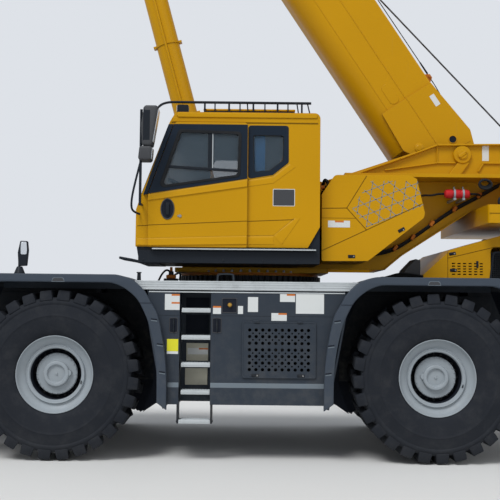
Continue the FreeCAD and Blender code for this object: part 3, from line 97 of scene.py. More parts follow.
def linear(*levels):
    """A display colour of 0 to 255 as scene-linear red, green and blue."""
    return tuple(
        (level / 255 / 12.92) if level <= 10 else ((level / 255 + 0.055) / 1.055) ** 2.4 for level in levels
    )


# Sizes and colours that a user can change

class CraneSizes(bpy.types.PropertyGroup):
    lug_width: bpy.props.FloatProperty(
        name="Lug width", description="Length of a tread lug round the tyre", default=0.14,
        min=0.05, max=0.17, unit="LENGTH")
    lug_count: bpy.props.IntProperty(
        name="Lugs", description="Lugs round each side of a tyre", default=28, min=12, max=40)
    bolt_radius: bpy.props.FloatProperty(
        name="Bolt radius", description="Corner radius of the axles' bolt heads", default=0.014,
        min=0.004, max=0.04, unit="LENGTH")
    lattice_pitch: bpy.props.FloatProperty(
        name="Lattice pitch", description="Distance between the lines on the side shrouds", default=0.118,
        min=0.05, max=0.3, unit="LENGTH")
    lens: bpy.props.FloatProperty(
        name="Focal length", description="Lens of the camera on a 36 mm wide sensor", default=65.95,
        min=20, max=200, unit="CAMERA")


class CraneColours(bpy.types.PropertyGroup):
    machine: bpy.props.FloatVectorProperty(
        name="Machine yellow", description="Paint of the cab, boom and hood", default=linear(189, 139, 6),
        size=3, min=0, max=1, subtype="COLOR")
    panels: bpy.props.FloatVectorProperty(
        name="Panel grey", description="Paint of the fenders and cabinets", default=linear(49, 56, 65),
        size=3, min=0, max=1, subtype="COLOR")
    rims: bpy.props.FloatVectorProperty(
        name="Rim grey", description="Paint of the wheel rims", default=linear(146, 154, 160),
        size=3, min=0, max=1, subtype="COLOR")
    seat: bpy.props.FloatVectorProperty(
        name="Seat tan", description="Cloth of the driver's seat", default=linear(176, 122, 78),
        size=3, min=0, max=1, subtype="COLOR")


# Finishes

class Value:
    """A node's output, on which a finish's sums are written as plain expressions."""

    def __init__(self, finish, socket):
        self.finish = finish
        self.socket = socket

    def sum(self, operation, *values):
        return self.finish.node("ShaderNodeMath", {"operation": operation}, dict(enumerate(values)))

    def __add__(self, other):
        return self.sum("ADD", self, other)

    def __radd__(self, other):
        return self.sum("ADD", other, self)

    def __sub__(self, other):
        return self.sum("SUBTRACT", self, other)

    def __rsub__(self, other):
        return self.sum("SUBTRACT", other, self)

    def __mul__(self, other):
        return self.sum("MULTIPLY", self, other)

    def wave(self):
        return self.sum("SINE", self)

    def rise(self, low, high):
        """0 below low, 1 above high and smooth between them."""
        return self.finish.node("ShaderNodeMapRange", {"interpolation_type": "SMOOTHSTEP"},
                                {"Value": self, "From Min": low, "From Max": high})


class Nodes:
    """A node tree that is built node by node."""

    def __init__(self, owner):
        owner.use_nodes = True
        self.tree = owner.node_tree
        self.tree.nodes.clear()

    def node(self, kind, settings=None, inputs=None, output=0):
        """Any node: its settings first, then the values or links of its sockets."""
        made = self.tree.nodes.new(kind)
        for name, value in (settings or {}).items():
            setattr(made, name, value)
        for name, value in (inputs or {}).items():
            if isinstance(value, Value):
                self.tree.links.new(value.socket, made.inputs[name])
            else:
                made.inputs[name].default_value = value
        return Value(self, made.outputs[output]) if made.outputs else None
class Finish(Nodes):
    """A material whose patterns follow the Object coordinates."""

    def __init__(self, name):
        self.material = bpy.data.materials.new(name)
        super().__init__(self.material)
        self.place = self.node("ShaderNodeTexCoord", output="Object")

    def axis(self, name):
        return self.node("ShaderNodeSeparateXYZ", {}, {"Vector": self.place}, output=name)

    def edges(self, radius):
        """Normals that run softly over the edges."""
        return self.node("ShaderNodeBevel", {"samples": 4}, {"Radius": radius})
    def noise(self, scale, detail=3.0, roughness=0.5, place=None):
        return self.node("ShaderNodeTexNoise", {}, {
            "Vector": place or self.place, "Scale": scale, "Detail": detail, "Roughness": roughness})

    def mix(self, share, first, second):
        """A colour between two, each a link or three numbers."""
        first, second = (c if isinstance(c, Value) else (*c, 1) for c in (first, second))
        return self.node("ShaderNodeMix", {"data_type": "RGBA"}, {0: share, 6: first, 7: second}, output=2)

    def stretched(self, x, y, z):
        return self.node("ShaderNodeMapping", {}, {"Vector": self.place, "Scale": (x, y, z)})

    def bump(self, height, depth, strength=1.0, normal=None):
        inputs = {"Height": height, "Distance": depth, "Strength": strength}
        if normal:
            inputs["Normal"] = normal
        return self.node("ShaderNodeBump", {}, inputs)

    def finish(self, sockets):
        """Ends the material with a surface that has these sockets."""
        sockets = {
            name: (*value, 1) if isinstance(value, tuple) and len(value) == 3 else value
            for name, value in sockets.items()
        }
        surface = self.node("ShaderNodeBsdfPrincipled", {}, sockets)
        self.node("ShaderNodeOutputMaterial", {}, {"Surface": surface})
        return self.material


def shade(colour, share):
    return tuple(level * share for level in colour)


def painted(name, colour, gloss=0.36, tone=0.16, soil=0.3, round_edge=0.005, edge_wear_and_highlight=0.25):
    """Paint with soft tone changes, dust that gathers low down, faint dimples and paler edges, which are partly
    worn paint and partly a painted highlight.
    """
    f = Finish(name)
    broad = f.noise(0.7, 3)
    spots = f.noise(9, 6, 0.68)
    streak = f.noise(1, 4, 0.6, f.stretched(26, 26, 1.3))
    height = f.axis("Z")
    low_down = 1 - height.rise(0.35, 2.2)
    dust = (low_down * spots.rise(0.38, 0.72) + streak.rise(0.6, 0.86) * 0.22) * soil
    rounded = f.edges(round_edge)
    flat = f.node("ShaderNodeNewGeometry", {}, {}, output="Normal")
    match = f.node("ShaderNodeVectorMath", {"operation": "DOT_PRODUCT"}, {0: rounded, 1: flat},
                   output="Value")
    # Paler edges: partly worn paint, partly a painted highlight where the edges catch the light
    edge = (1 - match).rise(0.01, 0.22)
    base = f.mix(broad.rise(0.3, 0.7) * tone, colour, shade(colour, 0.62))
    base = f.mix(dust, base, linear(126, 122, 114))
    base = f.mix(edge * edge_wear_and_highlight, base, tuple(min(1, 0.05 + level * 1.25) for level in colour))
    dimples = f.noise(180, 2)
    return f.finish({
        "Base Color": base,
        "Roughness": gloss + dust * 0.4 + spots * 0.06,
        "Specular IOR Level": 0.13,
        "Coat Weight": 0.03,
        "Coat Roughness": 0.18,
        "Normal": f.bump(dimples + spots * 2, 0.0006, 0.35, rounded),
    })


def rubber(name, colour=linear(25, 29, 36), dusty=0.2):
    f = Finish(name)
    spots = f.noise(6, 6, 0.7)
    grain = f.noise(160, 4, 0.6)
    height = f.axis("Z")
    dust = (spots.rise(0.42, 0.75) * 0.6 + (1 - height.rise(0.0, 0.5)) * 0.35) * dusty
    rounded = f.edges(0.004)
    return f.finish({
        "Base Color": f.mix(dust, colour, linear(88, 88, 88)),
        "Roughness": 0.72 + grain * 0.18,
        "Specular IOR Level": 0.25,
        "Normal": f.bump(grain + spots * 3, 0.001, 0.5, rounded),
    })


def bare_metal(name, colour, gloss=0.34, brush=(4, 60, 60), wear=0.4):
    """Metal brushed along one axis, with dull blotches."""
    f = Finish(name)
    grain = f.noise(6, 4, 0.6, f.stretched(*brush))
    blotch = f.noise(7, 5, 0.65)
    rounded = f.edges(0.002)
    return f.finish({
        "Base Color": f.mix(blotch.rise(0.45, 0.8) * wear, colour, shade(colour, 0.55)),
        "Metallic": 0.75,
        "Roughness": gloss + grain * 0.25 + blotch * 0.1,
        "Normal": f.bump(grain, 0.0006, 0.4, rounded),
    })


def moulded(name, colour, gloss=0.55, grain_scale=420):
    """Plastic with a leather-like grain."""
    f = Finish(name)
    cells = f.node("ShaderNodeTexVoronoi", {}, {"Vector": f.place, "Scale": grain_scale}, output="Distance")
    broad = f.noise(3, 3)
    rounded = f.edges(0.003)
    return f.finish({
        "Base Color": f.mix(broad * 0.3, colour, shade(colour, 0.7)),
        "Roughness": gloss + broad * 0.1,
        "Normal": f.bump(cells, 0.0006, 0.35, rounded),
    })


def cloth(name, colour):
    """Woven seat cloth: two crossing sets of threads and a soft sheen."""
    f = Finish(name)
    x, y, z = (f.axis(axis) for axis in "XYZ")
    weave = ((x + z) * 1400).wave() * (y * 1400).wave()
    mottle = f.noise(38, 5, 0.6)
    return f.finish({
        "Base Color": f.mix(mottle.rise(0.3, 0.7) * 0.5 + weave * 0.12, colour, shade(colour, 0.5)),
        "Roughness": 0.85,
        "Sheen Weight": 0.25,
        "Normal": f.bump(weave + mottle, 0.0008, 0.5),
    })


def glazing(name, tint, clear=0.8):
    """Tinted safety glass as a thin sheet with a little dust."""
    f = Finish(name)
    haze = f.noise(5, 5, 0.6).rise(0.45, 0.9) * 0.1
    return f.finish({"Base Color": tint, "Roughness": 0.06, "IOR": 1.45, "Alpha": (1 - clear) + haze})


def label(name, ground):
    """A blank sticker with a slightly worn surface."""
    f = Finish(name)
    wear = f.noise(60, 4, 0.6).rise(0.55, 0.8)
    return f.finish({
        "Base Color": f.mix(wear * 0.35, ground, shade(ground, 0.72)),
        "Roughness": 0.42 + wear * 0.2,
        "Normal": f.bump(wear, 0.0003, 0.3),
    })


def lens_glass(name, colour, ribs=240):
    """Ribbed lamp lens."""
    f = Finish(name)
    y = f.axis("Y")
    rib = (y * ribs * 2).wave()
    return f.finish({
        "Base Color": f.mix(rib.rise(-1, 1) * 0.35, colour, shade(colour, 0.6)),
        "Roughness": 0.12,
        "Coat Weight": 0.6,
        "Normal": f.bump(rib, 0.001, 0.5),
    })


def rope_steel(name):
    """Twisted wire rope: slanted strands that follow its length."""
    f = Finish(name)
    x, z = (f.axis(axis) for axis in "XZ")
    strands = ((z * 230) + (x * 190)).wave()
    return f.finish({
        "Base Color": f.mix(strands.rise(-0.6, 0.8), linear(38, 38, 40), linear(96, 96, 98)),
        "Metallic": 0.6,
        "Roughness": 0.45,
        "Normal": f.bump(strands, 0.002, 0.6),
    })


def make_finishes(colours):
    """Every material of the crane, by name."""
    machine, panels, rims = tuple(colours.machine), tuple(colours.panels), tuple(colours.rims)
    return {
        "yellow": painted("machine_yellow", machine, 0.34),
        "seam": painted("seam_shadow", shade(machine, 0.32), 0.6, edge_wear_and_highlight=0),
        "grey": painted("panel_grey", panels, 0.42, tone=0.08, soil=0.12, edge_wear_and_highlight=0.4),
        "rim": painted("rim_grey", rims, 0.4, soil=0.15, edge_wear_and_highlight=0.15),
        "black": painted("satin_black", linear(29, 34, 41), 0.45, edge_wear_and_highlight=0.35),
        "band": painted("window_band", linear(26, 36, 48), 0.3, soil=0.2, edge_wear_and_highlight=0.4),
        "primer": painted("worn_orange", linear(170, 98, 30), 0.5),
        "red": painted("accumulator_red", linear(190, 40, 44), 0.3),
        "blue": painted("blue_film", linear(28, 104, 164), 0.5, edge_wear_and_highlight=0),
        "beige": painted("kick_plate", linear(196, 193, 176), 0.6, soil=0.2, edge_wear_and_highlight=0.1),
        # Pale grey: the colour of the marker frames and handles, and a painted highlight on the ledge tops and
        # the fenders' notch ribs
        "ledge": painted("pale_grey_and_highlight", linear(104, 114, 122), 0.42, soil=0.1, edge_wear_and_highlight=0.1),
        "flare": painted("fender_grey", shade(panels, 1.45), 0.42, tone=0.08, soil=0.12, edge_wear_and_highlight=0.4),
        "lattice": painted("lattice_grey", linear(128, 140, 138), 0.5, edge_wear_and_highlight=0),
        "tyre": rubber("tyre_rubber"),
        "seal": rubber("rubber_seal", linear(22, 24, 27), 0.15),
        # Near-black sheets in hollows, holes, slots and notches: painted shade; in the arches also the real
        # dark liners
        "recess": rubber("recess_shade_and_liner", linear(15, 21, 33), 0.08),
        "aluminium": bare_metal("ribbed_aluminium", linear(196, 201, 203), 0.42),
        "steel": bare_metal("greased_steel", linear(150, 150, 150), 0.32),
        "chrome": bare_metal("ground_chrome", linear(215, 217, 222), 0.1, (60, 60, 60), 0.12),
        "brass": bare_metal("worn_brass", linear(190, 150, 70), 0.3),
        "rope": rope_steel("wire_rope"),
        "plastic": moulded("grey_plastic", linear(146, 148, 150)),
        "dark_plastic": moulded("dark_plastic", linear(52, 54, 58)),
        "fabric": cloth("seat_cloth", tuple(colours.seat)),
        "glass": glazing("cab_glazing", linear(72, 88, 100), 0.66),
        "mirror": bare_metal("mirror_silver", linear(225, 230, 235), 0.04, (1, 1, 1), 0.05),
        "white": label("blank_label_white", linear(204, 207, 206)),
        "orange": label("blank_label_orange", linear(192, 106, 32)),
        "signal": label("blank_label_yellow", linear(214, 208, 30)),
        "clear_lens": lens_glass("clear_lens", linear(225, 228, 232)),
        "amber_lens": lens_glass("amber_lens", linear(226, 132, 24)),
        "red_lens": lens_glass("red_lens", linear(178, 24, 22)),
    }


FINISHES = {}
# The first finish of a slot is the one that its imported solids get
FINISHES_OF_SLOT = {
    "yellow_paint": ("yellow", "seam"),
    "dark_grey_paint": ("grey", "ledge", "flare", "lattice"),
    "black_paint": ("black", "band", "recess"),
    "rim_paint": ("rim",),
    "primer_orange": ("primer", "red"),
    "bare_aluminium": ("aluminium",),
    "steel": ("steel", "brass", "rope"),
    "chromed_rod": ("chrome", "mirror"),
    "tyre_rubber": ("tyre", "seal"),
    "grey_plastic": ("plastic", "dark_plastic", "blue", "beige", "white", "orange", "signal"),
    "seat_fabric": ("fabric",),
    "cab_glazing": ("glass",),
    "lamp_lens": ("clear_lens", "amber_lens", "red_lens"),
}
FINISH_OF_NODE = {
    "carrier_frame": "black", "outrigger_boxes": "black", "deck": "black", "hoist_falls": "rope",
    "boom_head": "yellow", **{f"jack_{name}": "yellow" for name, x, side in CORNERS},
}


# Shapes

def between(start, end):
    """The matrix whose Z axis runs from one point to another, at their middle."""
    start, end = Vector(start), Vector(end)
    turn = (end - start).to_track_quat("Z", "Y").to_matrix().to_4x4()
    return Matrix.Translation((start + end) / 2) @ turn


def rounded(corners, radius, steps=5):
    """A closed outline with an arc of the given radius at each corner."""
    points = []
    count = len(corners)
    for index, corner in enumerate(corners):
        here = Vector(corner)
        before = (Vector(corners[index - 1]) - here).normalized()
        after = (Vector(corners[(index + 1) % count]) - here).normalized()
        half = before.angle(after) / 2
        reach = radius / tan(half)
        middle = here + (before + after).normalized() * (radius / sin(half))
        first, last = here + before * reach - middle, here + after * reach - middle
        for step in range(steps + 1):
            arm = first.lerp(last, step / steps).normalized() * radius
            points.append(tuple(middle + arm))
    return points


def flowing(points, steps=5):
    """A finer run of points along a smooth curve through the given ones."""
    ends = [points[0], *points, points[-1]]
    run = []
    for before, start, end, after in zip(ends, ends[1:], ends[2:], ends[3:]):
        for t in (step / steps for step in range(steps)):
            run.append(tuple(
                b + 0.5 * t * (c - a + t * (2 * a - 5 * b + 4 * c - d + t * (3 * b - a - 3 * c + d)))
                for a, b, c, d in zip(before, start, end, after)))
    return [*run, points[-1]]


def arched(x, outer, inner):
    """An arch about an axle: both edges run from the top to a foot and are mirrored to the other one."""
    return ([(x - reach, z) for reach, z in reversed(outer)] + [(x + reach, z) for reach, z in outer]
            + [(x + reach, z) for reach, z in reversed(inner)] + [(x - reach, z) for reach, z in inner])


def oval(x, z, half_width, half_height, count=28, start=0.0):
    return [(x + half_width * cos(2 * pi * i / count + start),
             z + half_height * sin(2 * pi * i / count + start))
            for i in range(count)]


def rectangle(x, z, width, height):
    return [(x - width / 2, z - height / 2), (x + width / 2, z - height / 2),
            (x + width / 2, z + height / 2), (x - width / 2, z + height / 2)]


class Form:
    """A mesh that grows from simple forms and ends as one piece of the crane."""

    def __init__(self):
        self.mesh = bmesh.new()

    def soften(self, edges, offset, segments):
        if offset and edges:
            bmesh.ops.bevel(self.mesh, geom=list(edges), offset=offset, segments=segments, affect="EDGES",
                            profile=0.5, material=-1)

    def bevel(self, verts, offset, segments):
        """Bevels the sharp edges at these vertices."""
        self.soften({edge for vert in verts for edge in vert.link_edges if len(edge.link_faces) == 2
                     and edge.calc_face_angle(0) > 0.6}, offset, segments)

    def turn(self, verts, lean, middle, axis="Y"):
        bmesh.ops.rotate(self.mesh, verts=verts, cent=middle, matrix=Matrix.Rotation(radians(lean), 3, axis))

    def block(self, centre, size, edge=0.0, segments=1, lean=0, axis="Y"):
        """A block about its centre, turned by lean degrees."""
        matrix = Matrix.Translation(centre) @ Matrix.Diagonal((*map(abs, size), 1))
        verts = bmesh.ops.create_cube(self.mesh, size=1, matrix=matrix)["verts"]
        if lean:
            self.turn(verts, lean, centre, axis)
        self.bevel(verts, edge, segments)
        return self

    def box(self, low, high, *looks, **turned):
        """A block between two opposite corners."""
        low, high = Vector(low), Vector(high)
        return self.block((low + high) / 2, high - low, *looks, **turned)

    def rod(self, start, end, radius, tip=None, sides=16, edge=0.0):
        """A round, tapered or six-sided bar from one point to another."""
        tip = radius if tip is None else tip
        length = (Vector(end) - Vector(start)).length
        verts = bmesh.ops.create_cone(self.mesh, cap_ends=True, segments=sides, radius1=radius, radius2=tip,
                                      depth=length, matrix=between(start, end))["verts"]
        self.bevel(verts, edge, 1)
        return self

    def ball(self, centre, radius, squash=(1, 1, 1)):
        matrix = Matrix.Translation(centre) @ Matrix.Diagonal((*squash, 1))
        bmesh.ops.create_uvsphere(self.mesh, u_segments=16, v_segments=8, radius=radius, matrix=matrix)
        return self

    def spun(self, profile, centre, axis="Y", steps=48, closed=False):
        """A line of (radius, along) points is spun about an axis through the centre."""
        arm, line = {"Y": ((1, 0, 0), (0, 1, 0)), "X": ((0, 0, 1), (1, 0, 0)),
                     "Z": ((1, 0, 0), (0, 0, 1))}[axis]
        arm, line, centre = Vector(arm), Vector(line), Vector(centre)
        points = [self.mesh.verts.new(centre + arm * radius + line * along) for radius, along in profile]
        pairs = list(zip(points, points[1:] + points[:1])) if closed else list(zip(points, points[1:]))
        edges = [self.mesh.edges.new(pair) for pair in pairs]
        before = set(self.mesh.verts) - set(points)
        bmesh.ops.spin(self.mesh, geom=points + edges, cent=centre, axis=line, angle=2 * pi, steps=steps,
                       use_merge=True)
        made = [vert for vert in self.mesh.verts if vert not in before]
        bmesh.ops.remove_doubles(self.mesh, verts=made, dist=1e-5)
        return self.outward()

    def outward(self):
        bmesh.ops.recalc_face_normals(self.mesh, faces=self.mesh.faces)
        return self

    def sheet(self, outline, near, far, edge=0.0, segments=1, hole=None, holes=()):
        """A plate whose outline lies in X and Z, between two values of Y, with openings if they are given."""
        loops = [[self.mesh.verts.new((x, near, z)) for x, z in points] for points in (outline, hole, *holes)
                 if points]
        if hole or holes:
            edges = [self.mesh.edges.new((a, b)) for loop in loops for a, b in zip(loop, loop[1:] + loop[:1])]
        if holes:
            filled = bmesh.ops.triangle_fill(self.mesh, use_beauty=True, edges=edges)["geom"]
            faces = [item for item in filled if isinstance(item, bmesh.types.BMFace)]
        elif hole:
            faces = bmesh.ops.bridge_loops(self.mesh, edges=edges)["faces"]
        else:
            faces = [self.mesh.faces.new(loops[0])]
        made = bmesh.ops.extrude_face_region(self.mesh, geom=faces, use_keep_orig=True)["geom"]
        moved = [item for item in made if isinstance(item, bmesh.types.BMVert)]
        bmesh.ops.translate(self.mesh, verts=moved, vec=(0, far - near, 0))
        self.outward()
        if edge:
            rim = {e for vert in moved for e in vert.link_edges if len(e.link_faces) == 2
                   and e.calc_face_angle(0) > 0.9 and all(abs(tip.co.y - far) < 1e-6 for tip in e.verts)}
            self.soften(rim, edge, segments)
        return self

    def line(self, points, near, far, width, edge=0.0):
        """A strip of even width along straight runs in X and Z."""
        for (x0, z0), (x1, z1) in zip(points, points[1:]):
            size = (hypot(x1 - x0, z1 - z0) + width * 0.6, far - near, width)
            self.block(((x0 + x1) / 2, (near + far) / 2, (z0 + z1) / 2), size, edge,
                       lean=-degrees(atan2(z1 - z0, x1 - x0)))
        return self

    def mark(self):
        return {item for kind in (self.mesh.verts, self.mesh.edges, self.mesh.faces) for item in kind}

    def repeat(self, count, centre, axis, since=()):
        """Copies the form, or what was made after the mark, all round an axis."""
        geometry = [item for kind in (self.mesh.verts, self.mesh.edges, self.mesh.faces)
                    for item in kind if item not in since]
        bmesh.ops.spin(self.mesh, geom=geometry, cent=centre, axis=axis, angle=2 * pi * (count - 1) / count,
                       steps=count - 1, use_duplicate=True)
        return self

    def bolts(self, places, radius, rise):
        """Six-sided heads, each at a point and along a direction."""
        for start, along in places:
            start, along = Vector(start), Vector(along)
            self.rod(start, start + along * rise, radius, radius * 0.92, 6)
        return self

    def moved(self, matrix):
        bmesh.ops.transform(self.mesh, matrix=matrix, verts=self.mesh.verts)
        return self

    def piece(self, name, body, finish, smooth=32):
        """Ends the form as a named piece that rides on a body of the crane."""
        data = bpy.data.meshes.new(name)
        self.mesh.to_mesh(data)
        self.mesh.free()
        return dress(bpy.data.objects.new(name, data), body, finish, smooth)
def pieces(body, *rows):
    """Ends forms as pieces of one body. A row is (form, name, finish), and can add the angle of smoothing."""
    for form, name, *looks in rows:
        form.piece(name, body, *looks)

def dress(made, body, finish, smooth=32):
    """Links a piece, gives it its finish and lets it ride on its body."""
    bpy.context.scene.collection.objects.link(made)
    made.data.materials.clear()
    made.data.materials.append(FINISHES[finish])
    made.data.shade_smooth()
    made.data.set_sharp_from_angle(angle=radians(smooth))
    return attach(made, body) if body else made


def pipes(name, routes, radius, body, finish, sides=3, place=None, order=3):
    """Round pipes, hoses or ropes along smooth routes, as one piece."""
    curve = bpy.data.curves.new(f"{name}_route", "CURVE")
    curve.dimensions = "3D"
    curve.bevel_depth = radius
    curve.bevel_resolution = sides
    curve.resolution_u = 8
    curve.use_fill_caps = True
    for route in routes:
        spline = curve.splines.new("NURBS")
        spline.points.add(len(route) - 1)
        for point, at in zip(spline.points, route):
            point.co = (*at, 1)
        spline.order_u = min(order, len(route))
        spline.use_endpoint_u = True
    carrier = bpy.data.objects.new(f"{name}_route", curve)
    bpy.context.scene.collection.objects.link(carrier)
    bpy.context.view_layer.update()
    data = bpy.data.meshes.new_from_object(carrier)
    bpy.data.objects.remove(carrier)
    bpy.data.curves.remove(curve)
    if place:
        data.transform(place)
    data.name = name
    return dress(bpy.data.objects.new(name, data), body, finish, 60)


def latch_pair(name, places, face, body, side=-1):
    """Black flush latches with a bright key each. A place is (x, z, lean)."""
    case, key = Form(), Form()
    for x, z, lean in places:
        case.block((x, side * (face + 0.003), z), (0.076, 0.006, 0.034), 0.003, lean=lean)
        case.block((x - 0.011, side * (face + 0.0075), z), (0.038, 0.003, 0.02), 0.002, lean=lean)
        key.rod((x + 0.022, side * (face + 0.005), z), (x + 0.022, side * (face + 0.009), z), 0.008)
    pieces(body, (case, f"{name}_cases", "black"), (key, f"{name}_keys", "steel"))


# Pieces

class CRANE_OT_finishes(bpy.types.Operator):
    """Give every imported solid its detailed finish"""
    bl_idname = "crane.finishes"
    bl_label = "Finishes"

    def execute(self, context):
        FINISHES.update(make_finishes(context.scene.crane_colours))
        slots = {part["node"]: part["material_slot"] for part in frame["record"]["subparts"]}
        for name, node in frame["nodes"].items():
            finish = FINISHES[FINISH_OF_NODE.get(name, FINISHES_OF_SLOT[slots[name]][0])]
            for place in node.material_slots:
                place.material = finish
        return {"FINISHED"}


class CRANE_OT_tyres(bpy.types.Operator):
    """Build the four lugged tyres"""
    bl_idname = "crane.tyres"
    bl_label = "Tyres"

    def execute(self, context):
        sizes = context.scene.crane_sizes
        count = sizes.lug_count
        half_pitch = 180 / count
        flank = (
            (0.3195, 0.19), (0.341, 0.203), (0.367, 0.223), (0.387, 0.245), (0.3985, 0.263), (0.4055, 0.272),
            (0.412, 0.281), (0.428, 0.293), (0.46, 0.305), (0.5, 0.315), (0.545, 0.323), (0.585, 0.3275),
            (0.604, 0.3285), (0.608, 0.331), (0.614, 0.3315), (0.62, 0.329), (0.626, 0.327), (0.68, 0.323),
            (0.724, 0.313), (0.734, 0.318), (0.746, 0.32), (0.758, 0.317), (0.776, 0.309), (0.795, 0.294),
            (0.803, 0.24), (0.806, 0.12), (0.807, 0.0),
        )
        profile = list(flank) + [(radius, -along) for radius, along in flank[-2::-1]]
        for name, x, side in CORNERS:
            centre = Vector((x, side * HALF_TRACK, AXLE_Z))
            phase = -3.9 if x < 0 else 0
            form = Form().spun(profile, centre, steps=96, closed=True)
            for way in SIDES:
                since = form.mark()
                self.lug(form, centre, way, sizes.lug_width)
                fresh = [vert for vert in form.mesh.verts if vert not in since]
                form.turn(fresh, way * half_pitch / 2 + phase, centre)
                form.repeat(count, centre, (0, 1, 0), since)
            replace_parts(form.piece(f"tread_tyre_{name}", f"roll_{name}", "tyre"), f"tyre_{name}")
        return {"FINISHED"}

    def lug(self, form, centre, way, width):
        """One lug at the top of the tyre, from the shoulder to the middle of the tread."""
        x, y, z = centre
        matrix = Matrix.Translation((x, y + way * 0.167, z + 0.8285)) @ Matrix.Diagonal((width, 0.31, 0.117,
                                                                                         1))
        verts = bmesh.ops.create_cube(form.mesh, size=1, matrix=matrix)["verts"]
        for vert in verts:
            top = vert.co.z > z + 0.83
            outer = abs(vert.co.y - y) > 0.2
            if top:
                vert.co.x = x + (vert.co.x - x) * 0.86
                vert.co.z -= 0.012
            if top and outer:
                vert.co.y -= way * 0.024
            if not outer:
                vert.co.x = x + (vert.co.x - x) * 0.72 - way * 0.026
        form.bevel(verts, 0.011, 2)


class CRANE_OT_wheels(bpy.types.Operator):
    """Build the four dished rims with their hubs and nuts"""
    bl_idname = "crane.wheels"
    bl_label = "Wheels"

    def execute(self, context):
        dish = (
            (0, 0.185), (0.012, 0.184), (0.016, 0.173), (0.084, 0.17), (0.09, 0.174), (0.094, 0.19),
            (0.101, 0.195), (0.122, 0.195), (0.132, 0.189), (0.14, 0.158), (0.15, 0.153), (0.208, 0.15),
            (0.2165, 0.144), (0.218, 0.132), (0.218, 0.05), (0.222, 0.04), (0.262, 0.04), (0.266, 0.203),
            (0.27, 0.216), (0.276, 0.223), (0.294, 0.226), (0.299, 0.231), (0.303, 0.231), (0.306, 0.218),
            (0.312, 0.208), (0.32, 0.209), (0.34, 0.217), (0.366, 0.233), (0.384, 0.256), (0.39, 0.276),
            (0.396, 0.283), (0.402, 0.283), (0.404, 0.28), (0.404, 0.27), (0.397, 0.262), (0.386, 0.244),
            (0.366, 0.222), (0.34, 0.202), (0.318, 0.192), (0.318, -0.25), (0.33, -0.26), (0.404, -0.27),
            (0.404, -0.28), (0.392, -0.28), (0.304, -0.262), (0.304, 0.03), (0.1215, 0.03), (0.1215, 0.137),
            (0, 0.137),
        )
        # A thin dark ring in the hollow of the rim: painted shade
        shadow = ((0.2185, 0.138), (0.2195, 0.138), (0.2195, 0.0435), (0.2605, 0.0435), (0.264, 0.205),
                  (0.265, 0.205), (0.2615, 0.0415), (0.2185, 0.0415))
        for name, x, side in CORNERS:
            centre = (x, side * HALF_TRACK, AXLE_Z)
            body = f"roll_{name}"

            def out(reach, along, up=0.0):
                return (x + reach, side * (HALF_TRACK + along), AXLE_Z + up)

            rim, recess = (Form().spun([(radius, side * along) for radius, along in profile], centre,
                                       steps=steps,
                                       closed=closed) for profile, steps, closed in
                           ((dish, 72, False), (shadow, 64, True)))
            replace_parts(rim.piece(f"dished_rim_{name}", body, "rim", 28), f"wheel_{name}")
            nuts = Form().rod(out(0.2405, 0.0435), out(0.2405, 0.068), 0.015, sides=6)
            nuts.rod(out(0.2405, 0.068), out(0.2405, 0.085), 0.009, sides=8)
            nuts.repeat(20, centre, (0, 1, 0))
            heads = Form().rod(out(0.2035, 0.15), out(0.2035, 0.158), 0.0085, sides=6)
            heads.repeat(24, centre, (0, 1, 0))
            lobe = 0.126 if x < 0 else -0.126
            heads.rod(out(lobe, 0.151, 0.008), out(lobe, 0.186, 0.008), 0.036, 0.032, 20, 0.004)
            valve = Form().rod(out(0.266, 0.226, -0.096), out(0.274, 0.238, -0.066), 0.007, 0.005, 8)
            pieces(body, (recess, f"rim_shadow_ring_{name}", "recess"), (nuts, f"wheel_nuts_{name}", "black"),
                   (heads, f"hub_bolts_{name}", "rim"), (valve, f"air_valve_{name}", "black"))
        return {"FINISHED"}


